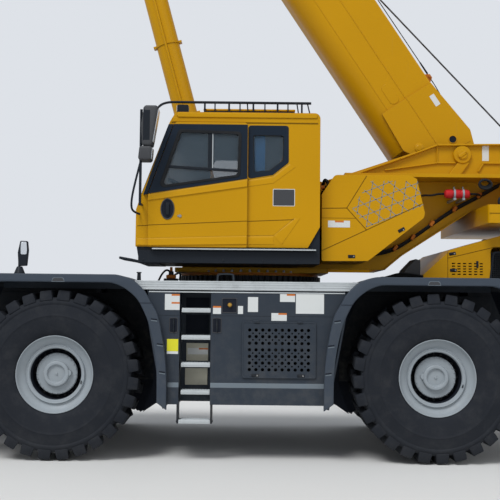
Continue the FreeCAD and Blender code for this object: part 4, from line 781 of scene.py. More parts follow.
class CRANE_OT_fenders(bpy.types.Operator):
    """Build the arches with their flares, marker lamps, mud flaps and dark liners; the liners are partly real
    and partly painted shade, and each notch in the flares has a painted highlight and painted shade
    """
    bl_idname = "crane.fenders"
    bl_label = "Fenders"

    # Each run is (reach from the axle, height), from the top of the arch to its foot
    FLARE_OUTER = ((0.5, 1.93), (0.58, 1.93), (0.647, 1.926), (0.754, 1.897), (0.83, 1.854), (0.93, 1.756),
                   (1.0, 1.636), (1.07, 1.501), (1.128, 1.231), (1.163, 0.93), (1.169, 0.542))
    FLARE_INNER = ((0.45, 1.845), (0.52, 1.845), (0.603, 1.837), (0.725, 1.785), (0.849, 1.68), (0.934, 1.53),
                   (0.99, 1.38), (1.039, 1.155), (1.065, 0.93), (1.07, 0.615))
    SHEET = ((0.45, 1.9285), (0.58, 1.9285), (0.645, 1.924), (0.75, 1.894), (0.824, 1.852), (0.912, 1.77),
             (0.9445, 1.66), (0.9744, 1.5), (1.0299, 1.2), (1.0853, 0.9), (1.149, 0.552))

    def execute(self, context):
        arches, ribs, dents, frames, lenses, flaps, liners, screws = (Form() for _ in range(8))
        outer, inner, sheet = (flowing(run) for run in (self.FLARE_OUTER, self.FLARE_INNER, self.SHEET))
        for name, x, side in CORNERS:
            inward = 1 if x < 0 else -1
            face, skin, dent = (side * (FENDER_FACE - depth) for depth in (0, 0.0015, 0.0009))
            lip = x if x < 0 else x - 0.015
            arches.sheet(arched(lip, outer, inner), side * 1.5135, skin, 0.01, 3)
            arches.sheet(arched(x, sheet, self.within(sheet, 0.02)), side * 0.8503, side * 1.5135)
            arches.box((x - 0.72, side * 0.8506, 1.79), (x + 0.72, side * 0.8703, 1.902))
            # A dark liner under the arch: a real liner that also gives painted shade inside the arch
            liners.sheet(arched(x, self.within(sheet, 0.0215), self.within(sheet, 0.0245)), side * 0.872,
                         side * 1.5125)
            # Each notch is a pale rib with a painted highlight and, above it, a dark strip of painted shade
            for z, reach in ((0.923, 1.125), (1.208, 1.098), (1.463, 1.034)):
                middle = lip + inward * reach
                ribs.box((middle - 0.033, skin, z - 0.014), (middle + 0.033, face, z - 0.002), 0.001,
                         lean=inward * 8)
                dents.box((middle - 0.033, skin, z), (middle + 0.033, dent, z + 0.014), lean=inward * 8)
            # A short dark strip of painted shade
            dents.box((lip + inward * 0.878, skin, 1.633), (lip + inward * 0.998, dent, 1.64))
            middle = lip + inward * 0.034
            shape, inside = ([(middle + reach, z) for reach, z in (
                (-wide, low), (wide, low), (wide - 0.01, high - 0.008), (wide - 0.024, high),
                (0.024 - wide, high), (0.01 - wide, high - 0.008))]
                for wide, low, high in ((0.068, 1.8465, 1.8915), (0.062, 1.852, 1.886)))
            frames.sheet(shape, skin - side * 0.002, face, hole=inside)
            lenses.sheet(inside, skin - side * 0.002, dent)
            # Flat dark sheets deeper in, behind the wheel: painted shade
            for end in (-1, 1):
                liners.sheet([(x + end * reach, z) for reach, z in (
                    (0.962, 0.75), (0.85, 0.435), (0.99, 0.53), (1.133, 0.6), (0.925, 1.745), (0.8, 1.8),
                    (0.72, 1.8), (0.86, 1.45), (0.955, 1.15))], side * 0.856, side * 0.86)
                liners.sheet([(x + end * reach, z) for reach, z in (
                    (0.62, 0.62), (0.773, 0.3855), (0.947, 0.4876), (1.09, 0.6), (1.09, 1.1), (0.62, 1.1))],
                    side * 0.4405, side * 0.4445)
            foot = x - inward * 1.112
            flaps.box((foot - 0.006, side * 0.92, 0.36), (foot + 0.006, side * 1.53, 0.62), 0.003)
            screws.bolts([((foot + inward * 0.006, side * y, 0.595), (inward, 0, 0)) for y in
                          (0.96, 1.08, 1.2, 1.32, 1.44)], 0.011, 0.007)
        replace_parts(arches.piece("flared_arches", "carrier", "flare"), "fenders")
        pieces("carrier", (ribs, "fender_ribs_highlight", "ledge"), (dents, "fender_shade_strips", "recess"),
               (frames, "marker_frames", "ledge"), (lenses, "marker_lenses", "dark_plastic"),
               (flaps, "mud_flaps", "seal"), (liners, "arch_liners_and_shade", "recess"),
               (screws, "flap_screws", "steel"))
        return {"FINISHED"}

    def within(self, run, inset):
        """The same run, moved towards the axle."""
        moved = []
        for index, point in enumerate(run):
            before, after = Vector(run[max(index - 1, 0)]), Vector(run[min(index + 1, len(run) - 1)])
            along = (after - before).normalized()
            moved.append((point[0] + along.y * inset, point[1] - along.x * inset))
        return moved


class CRANE_OT_cabinets(bpy.types.Operator):
    """Dress the side cabinets: ledges, grab recesses, labels, the knob and the door's fittings"""
    bl_idname = "crane.cabinets"
    bl_label = "Side cabinets"

    def execute(self, context):
        ledges, tops, dark, frames, bars, kicks, seams, jambs = (Form() for _ in range(8))
        for side in SIDES:
            face = side * CABINET_FACE

            def out(depth):
                return face + side * depth

            for low, high in ((-0.7697, -0.725), (-0.4, -0.3553)):
                jambs.box((low, out(0), 0.593), (high, out(-0.329), 1.7697))
            for low, high in ((-0.842, -0.727), (-0.398, 0.786)):
                ledges.sheet([(low, 0.593), (high, 0.593), (high, 0.768), (low, 0.768)], out(0), out(0.01))
                # A pale strip on each ledge top: a painted highlight where the top catches the light
                before = tops.mark()
                tops.box((low, out(0), 0.7685), (high, out(0.01), 0.819))
                for vert in tops.mesh.verts:
                    if vert not in before and vert.co.z > 0.8:
                        vert.co.y = out(0.0004)
            for x, z, width, height in ((-0.787, 1.409, 0.09, 0.158), (-0.336, 1.411, 0.096, 0.158),
                                        (-0.2075, 1.62, 0.16, 0.156)):
                shape = rounded(rectangle(x, z, width, height), 0.012)
                inner = rounded(rectangle(x, z, width - 0.016, height - 0.016), 0.008)
                frames.sheet(shape, out(0), out(0.005), 0.002, hole=inner)
                # A dark back inside each grab recess: painted shade
                dark.sheet(inner, out(0), out(0.0015))
                if z < 1.5:
                    bars.rod((x, out(0.012), z - height * 0.42), (x, out(0.012), z + height * 0.42), 0.009)
            for x0, x1, z0, z1 in ((-0.672, -0.437, 1.024, 1.212), (-0.682, -0.442, 0.768, 0.946)):
                kicks.box((x0, side * LADDER_BACK, z0), (x1, side * (LADDER_BACK + 0.004), z1), 0.001)
            # Dark boxes at the back of the ladder recess: painted shade
            for z0, z1 in ((1.313, 1.516), (1.59, 1.7)):
                dark.box((-0.68, side * LADDER_BACK, z0), (-0.433, side * (LADDER_BACK + 0.004), z1))
            for low, high in ((-1.0, -0.732), (-0.393, 0.955)):
                seams.line([(low, 1.512), (high, 1.512)], out(0), out(0.0008), 0.0035)
        tops.outward()
        pieces("carrier", (jambs, "ladder_jambs", "grey"), (ledges, "cabinet_ledges", "grey"),
               (tops, "ledge_top_highlights", "ledge"), (dark, "recess_shade_backs", "recess"),
               (frames, "recess_frames", "dark_plastic"), (bars, "grab_bars", "black"),
               (kicks, "kick_plates", "beige"), (seams, "cabinet_seams", "black"))
        self.knob()
        self.labels()
        self.door()
        return {"FINISHED"}

    def knob(self):
        knob = Form().spun([(0, -0.03), (0.014, -0.03), (0.02, -0.022), (0.016, -0.014), (0.022, -0.008),
                            (0.024, 0.002), (0, 0.002)], (-0.2045, -CABINET_FACE, 1.625), steps=20)
        knob.rod((-0.2045, -1.527, 1.612), (-0.2045, -1.527, 1.64), 0.005, sides=8)
        knob.piece("drain_knob", "carrier", "brass")

    def labels(self):
        """Blank stickers: each place is (x0, z0, x1, z1, count of coloured bands)."""
        white, header = Form(), Form()
        y0, y1 = -CABINET_FACE - 0.0002, -CABINET_FACE - 0.0012
        for x0, z0, x1, z1, bands in (
            (-0.881, 1.568, -0.727, 1.733, 2), (-0.379, 1.531, -0.295, 1.613, 1),
            (0.318, 1.663, 0.475, 1.745, 1), (0.23, 1.465, 0.39, 1.546, 1),
            (-0.119, 1.533, -0.066, 1.616, 0), (-0.016, 1.555, 0.09, 1.71, 0),
            (0.484, 1.542, 0.777, 1.747, 0),
        ):
            white.box((x0, y1, z0), (x1, y0, z1))
            height = (z1 - z0) / max(bands, 1)
            for band in range(bands):
                top = z1 - band * height
                start = x0 if x1 - x0 < 0.1 else x0 + (x1 - x0) * 0.45
                header.box((start, y1 - 0.0004, top - height * 0.22), (x1, y1, top))
        white.box((-0.658, -1.1815, 1.092), (-0.44, -1.1803, 1.16))
        header.box((-0.538, -1.1819, 1.144), (-0.44, -1.1815, 1.16))
        signal = Form().box((-0.853, y1, 1.14), (-0.736, y0, 1.266))
        foot = Form().box((-0.853, y1 - 0.0003, 1.112), (-0.736, y0, 1.139))
        pieces("carrier", (white, "blank_labels", "white"), (header, "label_headers", "orange"),
               (signal, "yellow_label", "signal"), (foot, "yellow_label_foot", "white"))

    def leaf(self):
        """The door's leaf: large holes in rows, and small ones between all rows but the middle two."""
        across, up = 0.0679, 0.0682
        places = [(0.006 + across * column, 0.959 + up * row, column, row) for column in range(10)
                  for row in range(7)]
        holes = [oval(x, z, 0.0175, 0.0175, 14) for x, z, column, row in places]
        holes += [oval(x + across / 2, z + up / 2, 0.0095, 0.0095, 8) for x, z, column, row in places
                  if column < 9 and row not in (3, 6)]
        leaf = Form().sheet(rounded(rectangle(0.3115, 1.1635, 0.767, 0.583), 0.018), -1.5003, -1.5143,
                            holes=holes)
        for x in (0.073, 0.52):
            leaf.rod((x - 0.03, -1.5073, 1.461), (x + 0.03, -1.5073, 1.461), 0.007)
        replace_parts(leaf.piece("perforated_leaf", "side_door_leaf", "grey"), "side_door")

    def door(self):
        self.leaf()
        y = -CABINET_FACE - 0.0145
        outline = rounded(rectangle(0.3115, 1.1635, 0.766, 0.582), 0.02)
        inner = rounded(rectangle(0.3115, 1.1635, 0.74, 0.556), 0.014)
        trim = Form().sheet(outline, y, y - 0.003, 0.001, hole=inner)
        small = Form()
        for x in (0.083, 0.53):
            small.block((x, y - 0.003, 1.4425), (0.06, 0.008, 0.013), 0.002)
        pieces("side_door_leaf", (trim, "door_rim", "grey"), (small, "door_hooks", "black"))
        latch_pair("door_latch", ((0.066, 0.898, 0), (0.541, 0.898, 0)), CABINET_FACE + 0.0143,
                   "side_door_leaf")
        core = Form()
        for x, z, radius, height in ((-0.01, 1.16, 0.1, 0.42), (0.3, 1.16, 0.14, 0.46),
                                     (0.56, 1.16, 0.07, 0.44)):
            core.rod((x, -1.22, z - height / 2), (x, -1.22, z + height / 2), radius, sides=28, edge=0.02)
        core.piece("bay_filters", "carrier", "dark_plastic")
        pipes("bay_hoses", [[(-0.01, -1.3, 1.36), (0.05, -1.36, 1.4), (0.22, -1.36, 1.38), (0.3, -1.3, 1.33)],
                            [(0.3, -1.3, 0.96), (0.38, -1.4, 0.93), (0.52, -1.38, 0.96), (0.56, -1.28, 1.0)]],
              0.019, "carrier", "seal")


class CRANE_OT_steps(bpy.types.Operator):
    """Build the serrated treads and the hung steps"""
    bl_idname = "crane.steps"
    bl_label = "Steps"

    def execute(self, context):
        treads, teeth, brackets = Form(), Form(), Form()
        for side in SIDES:
            levels = [0.715 + 0.283 * level for level in range(4)] + [0.415]
            for z in levels:
                for row, y in enumerate((1.366, 1.398, 1.43, 1.462, 1.488)):
                    for step in range(10):
                        x = -0.692 + step * 0.03 + (row % 2) * 0.012
                        teeth.block((x, side * y, z + 0.02265), (0.016, 0.008, 0.0057))
                for step in range(9):
                    teeth.block((-0.682 + step * 0.0325, side * 1.50025, z + 0.001), (0.02, 0.0035, 0.01))
            for z in levels[:-1]:
                treads.block((-0.5535, side * 1.4255, z), (0.302, 0.147, 0.04), 0.003)
                for x in (-0.707, -0.4005):
                    brackets.block((x, side * 1.425, z), (0.004, 0.13, 0.1), 0.001)
            treads.block((-0.5605, side * 1.4255, 0.415), (0.328, 0.147, 0.04), 0.003)
            for x, way in ((-0.735, -1), (-0.386, 1)):
                brackets.block((x, side * 1.4255, 0.4939), (0.02, 0.147, 0.1978), 0.002)
                brackets.bolts([((x + way * 0.0102, side * y, 0.415), (way, 0, 0)) for y in (1.4, 1.46)],
                               0.008, 0.006)
        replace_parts(treads.piece("ladder_steps", "carrier", "aluminium"), "ladder_treads")
        pieces("carrier", (teeth, "tread_teeth", "aluminium"), (brackets, "tread_brackets", "black"))
        return {"FINISHED"}


class CRANE_OT_deck(bpy.types.Operator):
    """Dress the deck: grooved edge, tread plate, handles, posts and fittings"""
    bl_idname = "crane.deck"
    bl_label = "Deck"

    def execute(self, context):
        ribs, strips, studs, posts, ends, bearers = (Form() for _ in range(6))
        for side in SIDES:
            face = side * DECK_EDGE_FACE
            for z, height in ((1.786, 0.01), (1.812, 0.006), (1.838, 0.006), (1.862, 0.01)):
                length = 2.125 + (z - 1.777) * 2.08
                ribs.block((-0.0275, face + side * 0.002, z), (length, 0.004, height), 0.0015)
            for low, high in ((-1.196, -1.0905), (1.0355, 1.141)):
                ribs.box((low, side * 1.5002, 1.7772), (high, face, 1.8718))
            for x in (-1.1515, 1.0965):
                ends.block((x, side * 1.178, 1.866), (0.089, 0.644, 0.008))
            bearers.box((-3.6, side * 0.38, 1.7505), (4.2, side * 0.44, 1.8615))
            strips.box((-1.05, side * 1.5002, 1.75), (0.995, side * 1.506, 1.762), 0.002)
            for row in range(5):
                for step in range(52):
                    x = -1.0 + step * 0.037 + (row % 2) * 0.018
                    studs.block((x, side * (1.06 + row * 0.09), 1.871), (0.022, 0.006, 0.003),
                                lean=45 if row % 2 else -45, axis="Z")
        pieces("carrier", (ribs, "deck_edge_ribs", "aluminium"), (ends, "deck_ends", "black"),
               (bearers, "deck_bearers", "black"), (strips, "deck_under_strips", "aluminium"),
               (studs, "deck_studs", "aluminium"))
        handle = ((-0.347, 1.868), (-0.347, 1.935), (-0.335, 1.957), (-0.186, 1.957), (-0.174, 1.935),
                  (-0.174, 1.868))
        pipes("deck_handles", [[(x, side * 1.2, z) for x, z in handle] for side in SIDES], 0.011, "carrier",
              "ledge")
        posts.rod((-1.165, -1.42, 1.868), (-1.165, -1.42, 1.955), 0.022, 0.018, 14, 0.004)
        posts.rod((-1.165, -1.42, 1.95), (-1.165, -1.42, 1.962), 0.027, 0.025, 14)
        posts.box((-0.93, -1.16, 1.868), (-0.78, -1.02, 1.905), 0.006)
        posts.rod((-0.855, -1.09, 1.9), (-0.855, -1.09, 1.985), 0.034, 0.026, 16, 0.004)
        cup = Form().box((-0.905, -1.145, 1.905), (-0.805, -1.035, 1.945), 0.008)
        cup.rod((-0.855, -1.09, 1.98), (-0.855, -1.09, 2.03), 0.017, 0.014, 12)
        pieces("carrier", (posts, "deck_posts", "black"), (cup, "grease_fitting", "primer"))
        pipes("deck_hoses", [[(-0.86, -1.05, 1.96), (-0.9, -0.98, 2.02), (-0.98, -0.9, 1.96),
                              (-1.02, -0.8, 1.885)],
                             [(-0.84, -1.05, 1.93), (-0.78, -1.0, 1.98), (-0.76, -0.94, 1.95),
                              (-0.78, -0.88, 1.9)]],
              0.011, "carrier", "seal")
        return {"FINISHED"}


class CRANE_OT_slewing(bpy.types.Operator):
    """Build the bolted rings and grease line of the slewing gear"""
    bl_idname = "crane.slewing"
    bl_label = "Slewing gear"

    def execute(self, context):
        bolts = Form().rod((0.77, 0, 1.995), (0.77, 0, 2.014), 0.017, 0.016, 6)
        bolts.rod((0.77, 0, 2.012), (0.77, 0, 2.024), 0.01, 0.009, 8)
        bolts.repeat(48, (0, 0, 0), (0, 0, 1))
        band = Form().spun([(0.812, 1.962), (0.822, 1.966), (0.822, 1.986), (0.812, 1.99)], (0, 0, 0), "Z",
                           96, True)
        grease = Form()
        for x, y in oval(0, 0, 0.817, 0.817, 8, 0.2):
            grease.rod((x, y, 1.976), (x * 1.02, y * 1.02, 1.976), 0.006, 0.005, 8)
        pieces("upper", (bolts, "flange_bolts", "steel"), (band, "flange_band", "primer"),
               (grease, "grease_nipples", "brass"))
        return {"FINISHED"}


class CRANE_OT_cab(bpy.types.Operator):
    """Dress the cab: window bands, seals, handle, roof, guard rail, mirrors, wiper, lamp and inside"""
    bl_idname = "crane.cab"
    bl_label = "Cab"

    def execute(self, context):
        for step in (self.bands, self.pressings, self.door_fittings, self.roof, self.guard, self.mirrors,
                     self.screen, self.liners):
            step()
        return {"FINISHED"}

    def bands(self):
        y = -CAB_DOOR_FACE
        window = ((-0.941, 2.86), (-0.13, 2.984), (-0.118, 3.428), (-0.745, 3.446))
        inner = ((-0.923, 2.872), (-0.142, 2.992), (-0.131, 3.417), (-0.737, 3.434))
        outer = ((-0.972, 2.838), (-0.11, 2.97), (-0.098, 3.448), (-0.762, 3.467))
        band = Form().sheet([(-1.0735, 2.783), (-0.036, 2.951), (-0.036, 3.5235), (-0.812, 3.5235)], y,
                            y - 0.004,
                            0.0015, hole=rounded(window, 0.03))
        seal = Form().sheet(rounded(outer, 0.045), y - 0.004, y - 0.01, 0.003, hole=rounded(inner, 0.03))
        bars = Form().line([(-0.89, 3.074), (-0.12, 3.032)], y - 0.002, y + 0.02, 0.028, 0.004)
        bars.box((-0.45, y - 0.001, 3.05), (-0.408, y + 0.018, 3.44), 0.004)
        runner = Form().box((-0.408, y + 0.001, 3.052), (-0.398, y + 0.016, 3.436), 0.002)
        pieces("cab_sliding_door", (band, "door_window_band", "band"), (seal, "door_window_seal", "seal"),
               (bars, "door_window_bars", "black"), (runner, "door_window_runner", "aluminium"))
        y = -CAB_FACE
        pillar = Form().sheet([(-1.1268, 2.773), (-1.0835, 2.78), (-0.8195, 3.5225), (-0.8715, 3.5225)], y,
                              y - 0.038, 0.003)
        quarter = rounded(((0.033, 3.022), (0.201, 3.04), (0.345, 3.153), (0.345, 3.42), (0.019, 3.42)),
                          0.022, 4)
        rim = ((0.0402, 3.0295), (0.198, 3.0465), (0.3385, 3.156), (0.3385, 3.4135), (0.0255, 3.4135))
        outer = ((-0.028, 2.953), (0.233, 2.998), (0.4, 3.132), (0.397, 3.5235), (-0.028, 3.5235))
        band = Form().sheet(rounded(outer, 0.03, 4), y, y - 0.003, 0.001, hole=quarter)
        seal = Form().sheet(quarter, y + 0.004, y - 0.0015, 0.001, hole=rounded(rim, 0.018, 4))
        mount = Form().sheet([(0.562, 2.064), (0.735, 2.064), (0.735, 2.452), (0.7335, 2.452),
                              (0.6065, 2.2285),
                              (0.562, 2.2285)], -0.5, -1.441, 0.003)
        film = Form().box((0.035, -1.428, 3.03), (0.15, -1.431, 3.415), 0.001)
        pieces("upper", (pillar, "front_pillar_band", "band"), (band, "quarter_band", "band"),
               (seal, "quarter_seal", "seal"), (mount, "cab_rear_mount", "black"),
               (film, "quarter_film", "blue"))

    def pressings(self):
        """Folds that the sheet metal of the side shows: each is a slope that catches the light."""
        door, shell = Form(), Form()
        for corners, rise in (
            (((-1.0745, 2.78), (-0.038, 2.948), (-1.0765, 2.712), (-0.038, 2.868)), 0.011),
            (((-1.068, 2.318), (-0.036, 2.352), (-1.066, 2.24), (-0.036, 2.262)), 0.01),
        ):
            self.slope(door, *corners, -CAB_DOOR_FACE, rise)
        y = -CAB_FACE
        for corners, rise in (
            (((-0.03, 2.948), (0.232, 2.99), (-0.03, 2.872), (0.24, 2.912)), 0.003),
            (((0.232, 2.99), (0.398, 3.122), (0.24, 2.912), (0.47, 3.085)), 0.003),
            (((-0.03, 2.355), (0.245, 2.362), (-0.03, 2.262), (0.25, 2.262)), 0.003),
            (((0.245, 2.362), (0.455, 2.54), (0.33, 2.262), (0.52, 2.54)), 0.003),
            (((-1.19, 2.318), (-1.07, 2.32), (-1.196, 2.245), (-1.07, 2.245)), 0.014),
        ):
            self.slope(shell, *corners, y, rise)
        # Dark lines in the seam shadow finish: painted shade along the creases
        seams = Form().line([(-1.068, 2.452), (-0.036, 2.505)], -CAB_DOOR_FACE, -CAB_DOOR_FACE - 0.0015,
                            0.007)
        creases = Form().line([(-0.03, 2.505), (0.455, 2.528)], y, y - 0.0015, 0.007)
        creases.line([(-1.186, 2.446), (-1.07, 2.452)], y, y - 0.0015, 0.007)
        pieces("cab_sliding_door", (door, "door_pressings", "yellow", 60), (seams, "door_crease_shade", "seam"))
        pieces("upper", (shell, "shell_pressings", "yellow", 60), (creases, "shell_crease_shade", "seam"))

    def slope(self, form, upper_start, upper_end, lower_start, lower_end, y, rise):
        """A wedge along the side of the cab, flush above and proud below."""
        places = ((upper_start, 0), (upper_end, 0), (lower_end, 0), (lower_start, 0), (lower_start, rise),
                  (lower_end, rise))
        a, b, c, d, e, f = (form.mesh.verts.new((x, y - out, z)) for (x, z), out in places)
        for corners in ((a, b, f, e), (a, b, c, d), (d, c, f, e), (a, d, e), (b, c, f)):
            form.mesh.faces.new(corners)
        form.outward()

    def door_fittings(self):
        y = -CAB_DOOR_FACE
        ring = Form().sheet(oval(-0.869, 2.623, 0.074, 0.112), y, y - 0.008, 0.003,
                            hole=oval(-0.869, 2.623, 0.062, 0.1))
        # A dark cup inside the handle's ring: painted shade
        cup = Form().sheet(oval(-0.869, 2.623, 0.063, 0.101), y, y - 0.002)
        lever = Form().box((-0.889, y - 0.004, 2.56), (-0.849, y - 0.02, 2.69), 0.008, 2)
        lock = Form().rod((-0.737, y, 2.55), (-0.737, y - 0.008, 2.55), 0.017, 0.015, 20)
        lock.box((-0.765, y, 2.541), (-0.728, y - 0.005, 2.561), 0.002)
        # A dark line along the door's foot: painted shade under its lower edge
        edge = Form().box((-1.066, y, 2.223), (-0.036, y - 0.005, 2.229), 0.001)
        pieces("cab_sliding_door", (ring, "handle_bezel", "dark_plastic"), (cup, "handle_cup_shade", "recess"),
               (lever, "handle_lever", "black"), (lock, "door_lock", "steel"),
               (edge, "door_foot_shadow_line", "seam"))
        y = -CAB_FACE
        frame_plate = Form().sheet(rounded(rectangle(0.351, 2.76, 0.232, 0.182), 0.01), y, y - 0.0012)
        plate = Form().sheet(rounded(rectangle(0.351, 2.76, 0.22, 0.17), 0.008), y - 0.0012, y - 0.002)
        rail = Form().box((-1.025, -1.5022, 2.2), (0.69, -1.5062, 2.212), 0.001)
        rail.box((0, -1.502, 2.214), (0.66, -1.47, 2.2195), 0.001)
        skirt = Form().box((-1.175, -1.444, 2.062), (0.73, -1.45, 2.19), 0.002)
        skirt.box((-1.15, -1.42, 2.048), (-0.95, -0.7, 2.062), 0.003)
        skirt.line(((-1.372, 2.112), (-1.24, 2.09), (-1.13, 2.064)), -1.42, -1.02, 0.026, 0.006)
        skirt.bolts([((x, -1.45, 2.092), (0, -1, 0)) for x in (-1.12, -0.7, -0.28, 0.14, 0.5)], 0.011, 0.006)
        pieces("upper", (frame_plate, "rating_plate_edge", "white"), (plate, "rating_plate", "dark_plastic"),
               (rail, "rail_strip", "aluminium"), (skirt, "sill_skirt", "black"))

    def roof(self):
        y = -CAB_FACE
        cap = Form().sheet([(-0.835, 3.556), (0.708, 3.556), (0.708, 3.6), (-0.835, 3.6)], y, y - 0.003,
                           0.001)
        cap.sheet(rounded([(-0.8, 3.602), (0.7, 3.602), (0.7, 3.652), (-0.772, 3.652)], 0.018, 3), y,
                  y - 0.016, 0.006)
        cap.box((-0.515, -1.33, 3.7065), (0.47, -0.74, 3.7265), 0.006, 2)
        hatch = Form().box((-0.5, -1.318, 3.6605), (0.455, -0.752, 3.706), 0.004)
        # A dark line under the roof cap: a small strip coloured with painted shade
        gutter = Form().line([(-0.84, 3.548), (0.705, 3.548)], y, y - 0.003, 0.01, 0.001)
        pieces("upper", (cap, "roof_cap", "yellow"), (hatch, "hatch_frame", "dark_plastic"),
               (gutter, "roof_gutter_shade", "seam"))

    def guard(self):
        posts = Form()
        y = -1.342
        for x, lean in ((-0.391, 0), (-0.123, 0), (-0.045, 0.01), (0.144, 0), (0.391, 0), (0.487, 0.02),
                        (0.6, 0.03)):
            posts.rod((x + lean, y, 3.661), (x, y, 3.786), 0.007, sides=8)
        posts.piece("guard_posts", "upper", "black")
        pipes("mirror_brace", [[(-0.82, y, 3.791), (-0.93, y, 3.792), (-1.02, y - 0.06, 3.7),
                                (-1.1, -1.5, 3.5),
                                (-1.138, -1.64, 3.36), (-1.14, -1.66, 3.2)]], 0.013, "upper", "black")
        pipes("mirror_arm_bend", [[(-1.14, -1.66, 3.1), (-1.215, -1.655, 2.8), (-1.235, -1.64, 2.64),
                                   (-1.22, -1.58, 2.58), (-1.165, -1.47, 2.57)]], 0.011, "upper", "black")

    def mirrors(self):
        shell, glass = Form(), Form()
        for outline, radius in ((((-1.12, 3.25), (-1.018, 3.25), (-0.955, 3.668), (-1.104, 3.668),
                                  (-1.132, 3.48)), 0.03),
                                (((-1.16, 3.1), (-1.026, 3.1), (-1.014, 3.247), (-1.146, 3.247)), 0.028)):
            shell.sheet(rounded(outline, radius), -1.562, -1.7615, 0.022, 3)
        for z0, z1, x, lean in ((3.29, 3.632, -0.984, 8.9), (3.118, 3.23, -1.0195, 4.7)):
            glass.box((x - 0.004, -1.738, z0), (x + 0.004, -1.588, z1), 0.002, lean=lean)
        lamp = Form().box((-0.79, -1.4, 3.665), (-0.672, -1.284, 3.756), 0.014, 2)
        lens = Form().sheet(rounded(rectangle(0, 0, 0.096, 0.07), 0.012), 0, 0.004)
        lens.moved(Matrix.Translation((-0.794, -1.342, 3.711)) @ Matrix.Rotation(radians(90), 4, "Z"))
        pieces("upper", (shell, "mirror_shells", "dark_plastic", 50), (glass, "mirror_glasses", "mirror"),
               (lamp, "work_lamp_case", "black"), (lens, "work_lamp_lens", "clear_lens"))

    def screen(self):
        """The windscreen's seal and wiper, in the slope of the front, and the grab handle before it."""
        low, high = Vector((-1.148, 0, 2.77)), Vector((-0.868, 0, 3.52))
        lean = Matrix.Rotation(atan2(high.x - low.x, high.z - low.z), 4, "Y")
        base = Matrix.Translation((low.x - 0.004, SEAT_MIDDLE, low.z)) @ lean @ Matrix.Rotation(radians(90),
                                                                                                4, "Z")
        length = (high - low).length
        seal = Form().sheet(rounded(rectangle(0, length / 2, 0.76, length + 0.02), 0.05), 0, 0.012, 0.004,
                            hole=rounded(rectangle(0, length / 2, 0.7, length - 0.05), 0.04))
        wiper = Form().rod((-0.05, 0.02, 0.02), (0.16, 0.02, 0.5), 0.006, sides=8)
        wiper.box((0.1, 0.01, 0.26), (0.116, 0.018, 0.74), 0.002, lean=4)
        wiper.rod((-0.05, 0.004, 0.02), (-0.05, 0.03, 0.02), 0.016, sides=14)
        pieces("upper", (seal.moved(base), "screen_seal", "seal"),
               (wiper.moved(base), "screen_wiper", "black"))
        grab = [(-1.15, -0.64, 2.5), (-1.19, -0.64, 2.52), (-1.19, -0.64, 2.74), (-1.15, -0.64, 2.76)]
        pipes("front_grab", [grab], 0.01, "upper", "black")

    def liners(self):
        lining = Form().box((-0.78, -1.418, 3.61), (0.685, -0.664, 3.618))
        lining.box((0.68, -1.418, 2.275), (0.69, -0.664, 2.895), 0.004)
        lining.sheet([(-1.05, 2.275), (0.688, 2.275), (0.688, 3.6), (-0.79, 3.6), (-1.05, 2.85)], -0.662,
                     -0.667,
                     hole=[(-0.46, 2.98), (-0.1, 2.98), (-0.1, 3.27), (-0.4, 3.27), (-0.46, 3.17)])
        lining.box((0.05, -1.42, 2.275), (0.688, -1.414, 3.0), 0.002)
        lining.box((0.61, -0.67, 2.275), (0.69, -0.662, 3.61), 0.002)
        mat = Form().box((-1.1, -1.41, 2.271), (0.66, -0.67, 2.278), 0.003)
        dash = Form().box((-1.09, -1.39, 2.64), (-0.93, -0.68, 2.73), 0.025, 3)
        dash.box((-0.99, -1.16, 2.7), (-0.93, -0.9, 2.86), 0.012, 2)
        wheel, centre = Form(), (0, 0, 0)
        wheel.spun(oval(0.205, 0, 0.013, 0.013, 10), centre, "Z", 40, True)
        wheel.spun([(0, 0.012), (0.05, 0.01), (0.058, -0.006), (0.03, -0.02), (0, -0.022)], centre, "Z", 24)
        wheel.rod((0, 0, -0.01), (0, 0, -0.36), 0.028, 0.034)
        for c, s in oval(0, 0, 1, 1, 3, pi / 2):
            wheel.rod((0.04 * c, 0.04 * s, -0.004), (0.2 * c, 0.2 * s, 0), 0.013, 0.009, 8)
        wheel.moved(Matrix.Translation((-0.72, SEAT_MIDDLE, 2.9)) @ Matrix.Rotation(radians(28), 4, "Y"))
        levers = Form()
        for side in SIDES:
            x, y = -0.3, SEAT_MIDDLE + side * 0.325
            levers.rod((x, y, 2.825), (x - 0.01, y, 2.93), 0.008, 0.006, 8)
            levers.ball((x - 0.012, y, 2.955), 0.026, (0.8, 0.8, 1.4))
            levers.block((x, y, 2.833), (0.1, 0.09, 0.01), 0.004)
        pieces("upper", (lining, "cab_lining", "plastic"), (mat, "floor_mat", "seal"),
               (dash, "dashboard", "dark_plastic"), (wheel, "steering_wheel", "dark_plastic", 50),
               (levers, "control_levers", "black", 50))


